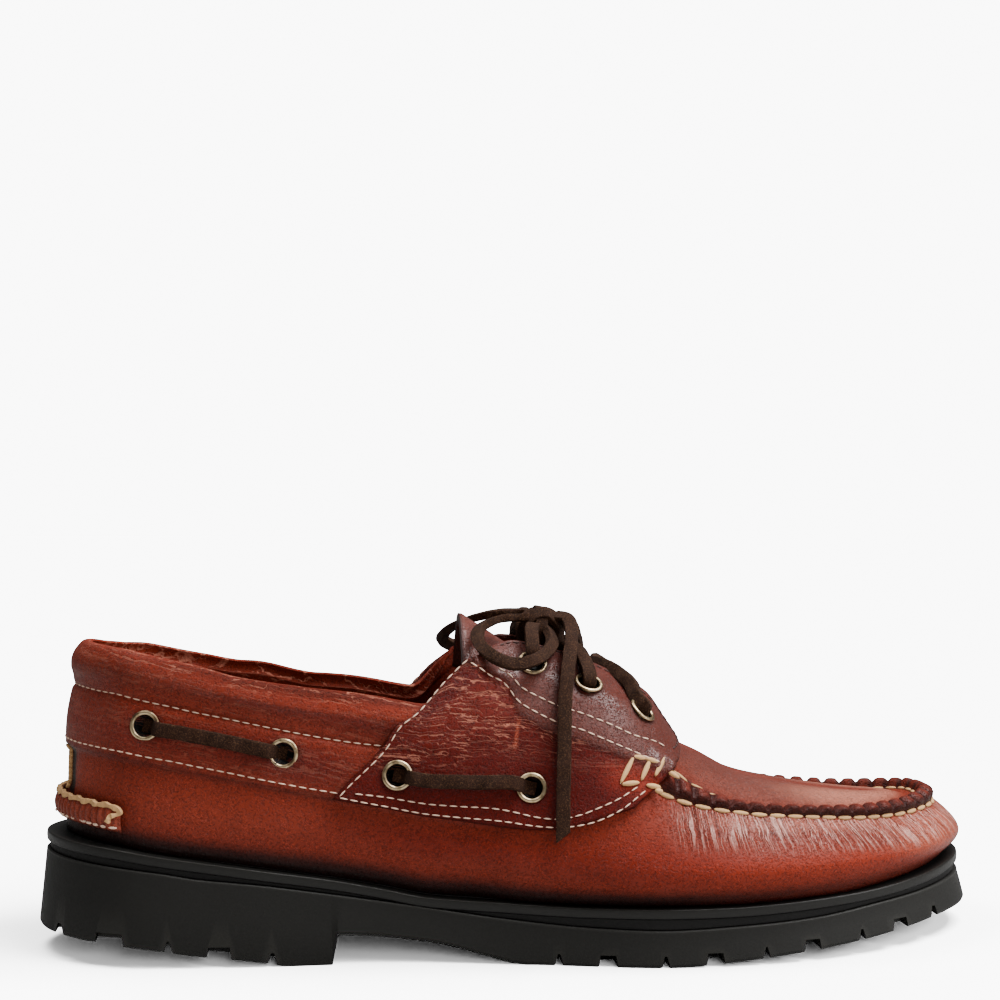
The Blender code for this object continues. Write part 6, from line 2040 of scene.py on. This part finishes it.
# %% Leather
def leather(name, grain=0.00016, dull=0.58, shine=0.34, crease_tint=(0.36, 0.12, 0.075, 1)):
    material, shader, place = start(name)
    colour = attribute(place, "dye_and_light")
    gloss = attribute(place, "dye_and_light", "Alpha")
    crease, sheened, rim = channels(attribute(place, "marks"))
    sheet = place.node("ShaderNodeUVMap", {}, uv_map="UVMap")
    blotch = noise(place, 210.0, 4.0, 0.6)
    colour = colour.scaled(0.80 + noise(place, 45.0, 2.0) * 0.18 + blotch * 0.22)
    # Grain: dark pores between rounded cells, and pale short lines where the oil has left them
    pore = noise(place, 1500.0, 2.0).between(0.50, 0.34)
    patchy = noise(place, 240.0, 3.0).between(0.36, 0.62)
    pale = (noise(place, 1000.0, 2.0, 0.6) - 0.5).maths("ABSOLUTE").between(0.040, 0.006)
    colour = (pore * 0.50).mix(colour, colour.scaled(0.30))
    colour = (pale * (0.16 + patchy * 0.40)).mix(colour, colour.scaled(2.8))
    # Fine creases along the hide, where it bends
    warp = noise(place, 170.0, 3.0)
    flow = sheet.node("ShaderNodeMapping", {"Vector": sheet, "Rotation": (0, 0, 0.10), "Scale": (5.5, 62.0, 1.0)})
    flow = flow.node("ShaderNodeVectorMath", {0: flow, 1: warp.node("ShaderNodeCombineXYZ", {
        0: warp * 1.2, 1: warp * 2.4, 2: 0.0})}, operation="ADD")
    run = flow.node("ShaderNodeTexNoise", {"Vector": flow, "Scale": 1.0, "Detail": 2.0, "Roughness": 0.5})
    fold = (run - 0.5).maths("ABSOLUTE").between(0.034, 0.006)
    light = fold * crease * noise(place, 300.0, 2.0).between(0.26, 0.50)
    colour = (light * 0.85).mix(colour, crease_tint)
    # Gathers under the hand-sewn seam, with a painted highlight on their crests and painted shade in their troughs
    gather = sheet.node("ShaderNodeMapping", {"Vector": sheet, "Scale": (180.0, 6.5, 1.0)})
    gather = gather.node("ShaderNodeVectorMath", {0: gather, 1: warp.node("ShaderNodeCombineXYZ", {
        0: warp * 5.0, 1: warp * 1.4, 2: 0.0})}, operation="ADD")
    pleat = gather.node("ShaderNodeTexNoise", {"Vector": gather, "Scale": 1.0, "Detail": 2.5, "Roughness": 0.5})
    colour = (pleat.between(0.49, 0.60) * sheened * 0.48).mix(colour, (0.72, 0.44, 0.37, 1))
    colour = (pleat.between(0.48, 0.37) * sheened * 0.72).mix(colour, colour.scaled(0.35))
    # Paler rims, partly from wear and partly a painted highlight
    colour = (rim * 0.30).mix(colour, colour.scaled(1.8))
    relief = bump(patchy * pale - pore, grain)
    relief = bump(fold * crease * -1.0, 0.00022, 1.0, relief)
    relief = bump(pleat * sheened, 0.00120, 1.0, relief)
    # Polished and dry leather are two shaders, mixed by the polish
    nodes_here = material.node_tree.nodes
    polished = nodes_here.new("ShaderNodeBsdfPrincipled")
    both = nodes_here.new("ShaderNodeMixShader")
    for finish, rough, level in ((shader, dull, 0.10), (polished, shine, 0.55)):
        give(material, finish, Base_Color=colour, Roughness=blotch * 0.12 + (rough - 0.06), Normal=relief)
        give(material, finish, Specular_IOR_Level=level)
    for socket, output in ((0, gloss.socket), (1, shader.outputs[0]), (2, polished.outputs[0])):
        material.node_tree.links.new(output, both.inputs[socket])
    material.node_tree.links.new(both.outputs[0], nodes_here["Material Output"].inputs["Surface"])
    return material


upper_leather = leather("pull_up_leather")
saddle_leather = leather("saddle_leather")
tongue_leather = leather("tongue_leather")


def lining_finish(name, colour, grain):
    """Plainer leather, with a few folds."""
    material, shader, place = start(name)
    cloud = noise(place, 70.0, 4.0)
    fold = noise(place, 1.0, 3.0, stretch=(180.0, 180.0, 420.0))
    tint = (0.70 + cloud * 0.6).mix(tuple(0.55 * c for c in colour) + (1,), tuple(colour) + (1,))
    tint = (fold.between(0.52, 0.70) * 0.35).mix(tint, tuple(min(1, 1.5 * c) for c in colour) + (1,))
    height = cells(place, 1100.0, "SMOOTH_F1") * -0.7 + fold * 2.0
    give(material, shader, Base_Color=tint, Roughness=0.62, Normal=bump(height, grain))
    return material


lining = lining_finish("lining_leather", 0.8 * linear(140, 98, 84), 0.00015)
footbed = lining_finish("footbed", dye_and_light(120, 84, 58), 0.00012)

# %% [markdown]
# ## Rubber, brass, rawhide and thread

# %% Rubber
def rubber(name, base, gloss, edge_highlight):
    material, shader, place = start(name)
    mark = channels(attribute(place, "marks"))[0]
    cloud = noise(place, 120.0, 4.0)
    dust = noise(place, 1400.0, 3.0)
    colour = (0.25 + cloud * 0.5 + dust * 0.25).mix(tuple(0.62 * c for c in base) + (1,), tuple(base) + (1,))
    # Painted highlight along the welt's rounded top and the outsole's ridge, where the rings are marked
    colour = (mark * edge_highlight).mix(colour, tuple(min(1, 3.2 * c) for c in base) + (1,))
    give(material, shader, Base_Color=colour, Roughness=gloss + dust * 0.16 - mark * 0.18,
         Normal=bump(dust + cloud * 1.5, 0.00006))
    give(material, shader, Specular_IOR_Level=0.30)
    return material


sole_rubber = rubber("sole_rubber", linear(19, 18, 15), 0.60, 0.30)
welt_rubber = rubber("welt_rubber", linear(15, 14, 12), 0.46, 0.60)
band_rubber = rubber("band_rubber", linear(12, 11, 10), 0.65, 0.0)


# %% Brass, rawhide and thread
def brass():
    material, shader, place = start("antique_brass")
    tarnish = noise(place, 420.0, 4.0)
    spots = noise(place, 2200.0, 3.0)
    colour = tarnish.between(0.42, 0.66).mix((0.62, 0.47, 0.28, 1), (0.24, 0.16, 0.09, 1))
    give(material, shader, Base_Color=colour, Metallic=1.0, Roughness=0.24 + spots * 0.20,
         Normal=bump(spots, 0.00003))
    return material


def rawhide():
    material, shader, place = start("rawhide")
    edge, run, _ = channels(attribute(place, "marks"))
    cloud = noise(place, 240.0, 4.0, 0.6)
    fibre = noise(place, 2600.0, 3.0, 0.7)
    colour = cloud.mix(tuple(linear(16, 7, 4)) + (1,), tuple(linear(46, 26, 17)) + (1,))
    fuzz = fibre.between(0.50, 0.66) * (edge * 0.20 + 0.04)
    colour = fuzz.mix(colour, tuple(linear(140, 100, 68)) + (1,))
    give(material, shader, Base_Color=colour, Roughness=0.85, Normal=bump(fibre + cloud, 0.00022))
    give(material, shader, Specular_IOR_Level=0.12)
    return material


def thread_finish(name, base):
    material, shader, place = start(name)
    fibre = noise(place, 2400.0, 2.0)
    colour = fibre.mix(tuple(0.6 * c for c in base) + (1,), tuple(base) + (1,))
    give(material, shader, Base_Color=colour, Roughness=0.75, Normal=bump(fibre, 0.00008))
    return material


antique_brass = brass()
rawhide_lace = rawhide()
cream_thread = thread_finish("cream_thread", linear(240, 202, 176))
hand_thread = thread_finish("hand_thread", linear(206, 160, 108))
dark_thread = thread_finish("dark_thread", linear(58, 30, 24))

# %% Dressing the pieces
def dress(thing, *finishes):
    thing.data.materials.clear()
    for finish in finishes:
        thing.data.materials.append(finish)


inside_faces = [face.material_index for face in upper.data.polygons]
dress(upper, upper_leather, lining)
for face, index in zip(upper.data.polygons, inside_faces):
    face.material_index = index
dress(saddle_outer, saddle_leather)
dress(saddle_inner, saddle_leather)
dress(kicker, upper_leather)
dress(tongue, tongue_leather)
dress(outsole, sole_rubber)
dress(band, band_rubber)
dress(welt, welt_rubber)
for eyelet in eyelets:
    dress(eyelet, antique_brass)
for lace in laces:
    dress(lace, rawhide_lace)
for kind, finish in (("cream", cream_thread), ("hand", hand_thread), ("dark", dark_thread)):
    for piece in threads[kind]:
        dress(piece, finish)
nodes["insole"].data.materials.clear()
nodes["insole"].data.materials.append(footbed)
print("inside faces of the upper:", sum(index == 1 for index in inside_faces))

# %% [markdown]
# ## Studio
#
# The shoe stands on a white sweep that is lit from all round, so its shadow is faint and soft.
# A large soft box over it gives the leather its broad highlights, and a weaker one in front
# keeps the near side readable.

# %% Floor and lights
FLOOR_SIZE = 12.0
BACKDROP_SEEN = 9.5
BACKDROP_LIGHT = 0.14
bpy.ops.object.select_all(action="DESELECT")
bpy.ops.mesh.primitive_plane_add(size=FLOOR_SIZE, location=(0, 0, 0))
floor = bpy.context.object
floor.name = "floor"
floor_material, floor_shader, floor_place = start("floor")
give(floor_material, floor_shader, Base_Color=(0.45, 0.45, 0.44, 1), Roughness=0.9)
floor.data.materials.append(floor_material)
floor.is_shadow_catcher = True


def soft_box(name, place, target, size, power):
    aim = (Vector(target) - Vector(place)).to_track_quat("-Z", "Y").to_euler()
    bpy.ops.object.light_add(type="AREA", location=place, rotation=aim)
    lamp = bpy.context.object
    lamp.name = name
    lamp.data.shape = "RECTANGLE"
    lamp.data.size, lamp.data.size_y = size
    lamp.data.energy = power
    return lamp


soft_box("top_box", (0.34, -0.12, 0.78), (0.09, 0.0, 0.05), (0.55, 0.40), 15.0)
soft_box("heel_box", (-0.30, 0.10, 0.80), (-0.08, 0.0, 0.08), (0.5, 0.3), 4.5)
fill = soft_box("front_box", (0.25, -1.15, 0.45), (0.0, 0.0, 0.05), (0.7, 0.5), 5.0)
fill.visible_glossy = False
soft_box("toe_box", (0.95, -0.50, 0.60), (0.10, 0.0, 0.04), (0.4, 0.4), 7.0)
world = bpy.data.worlds.new("studio")
bpy.context.scene.world = world
world.use_nodes = True
sky = world.node_tree
seen = Number(sky, sky.nodes.new("ShaderNodeLightPath").outputs["Is Camera Ray"])
background = sky.nodes["Background"]
background.inputs["Color"].default_value = (1.0, 1.0, 1.0, 1)
strength = seen * (BACKDROP_SEEN - BACKDROP_LIGHT) + BACKDROP_LIGHT
sky.links.new(strength.socket, background.inputs["Strength"])
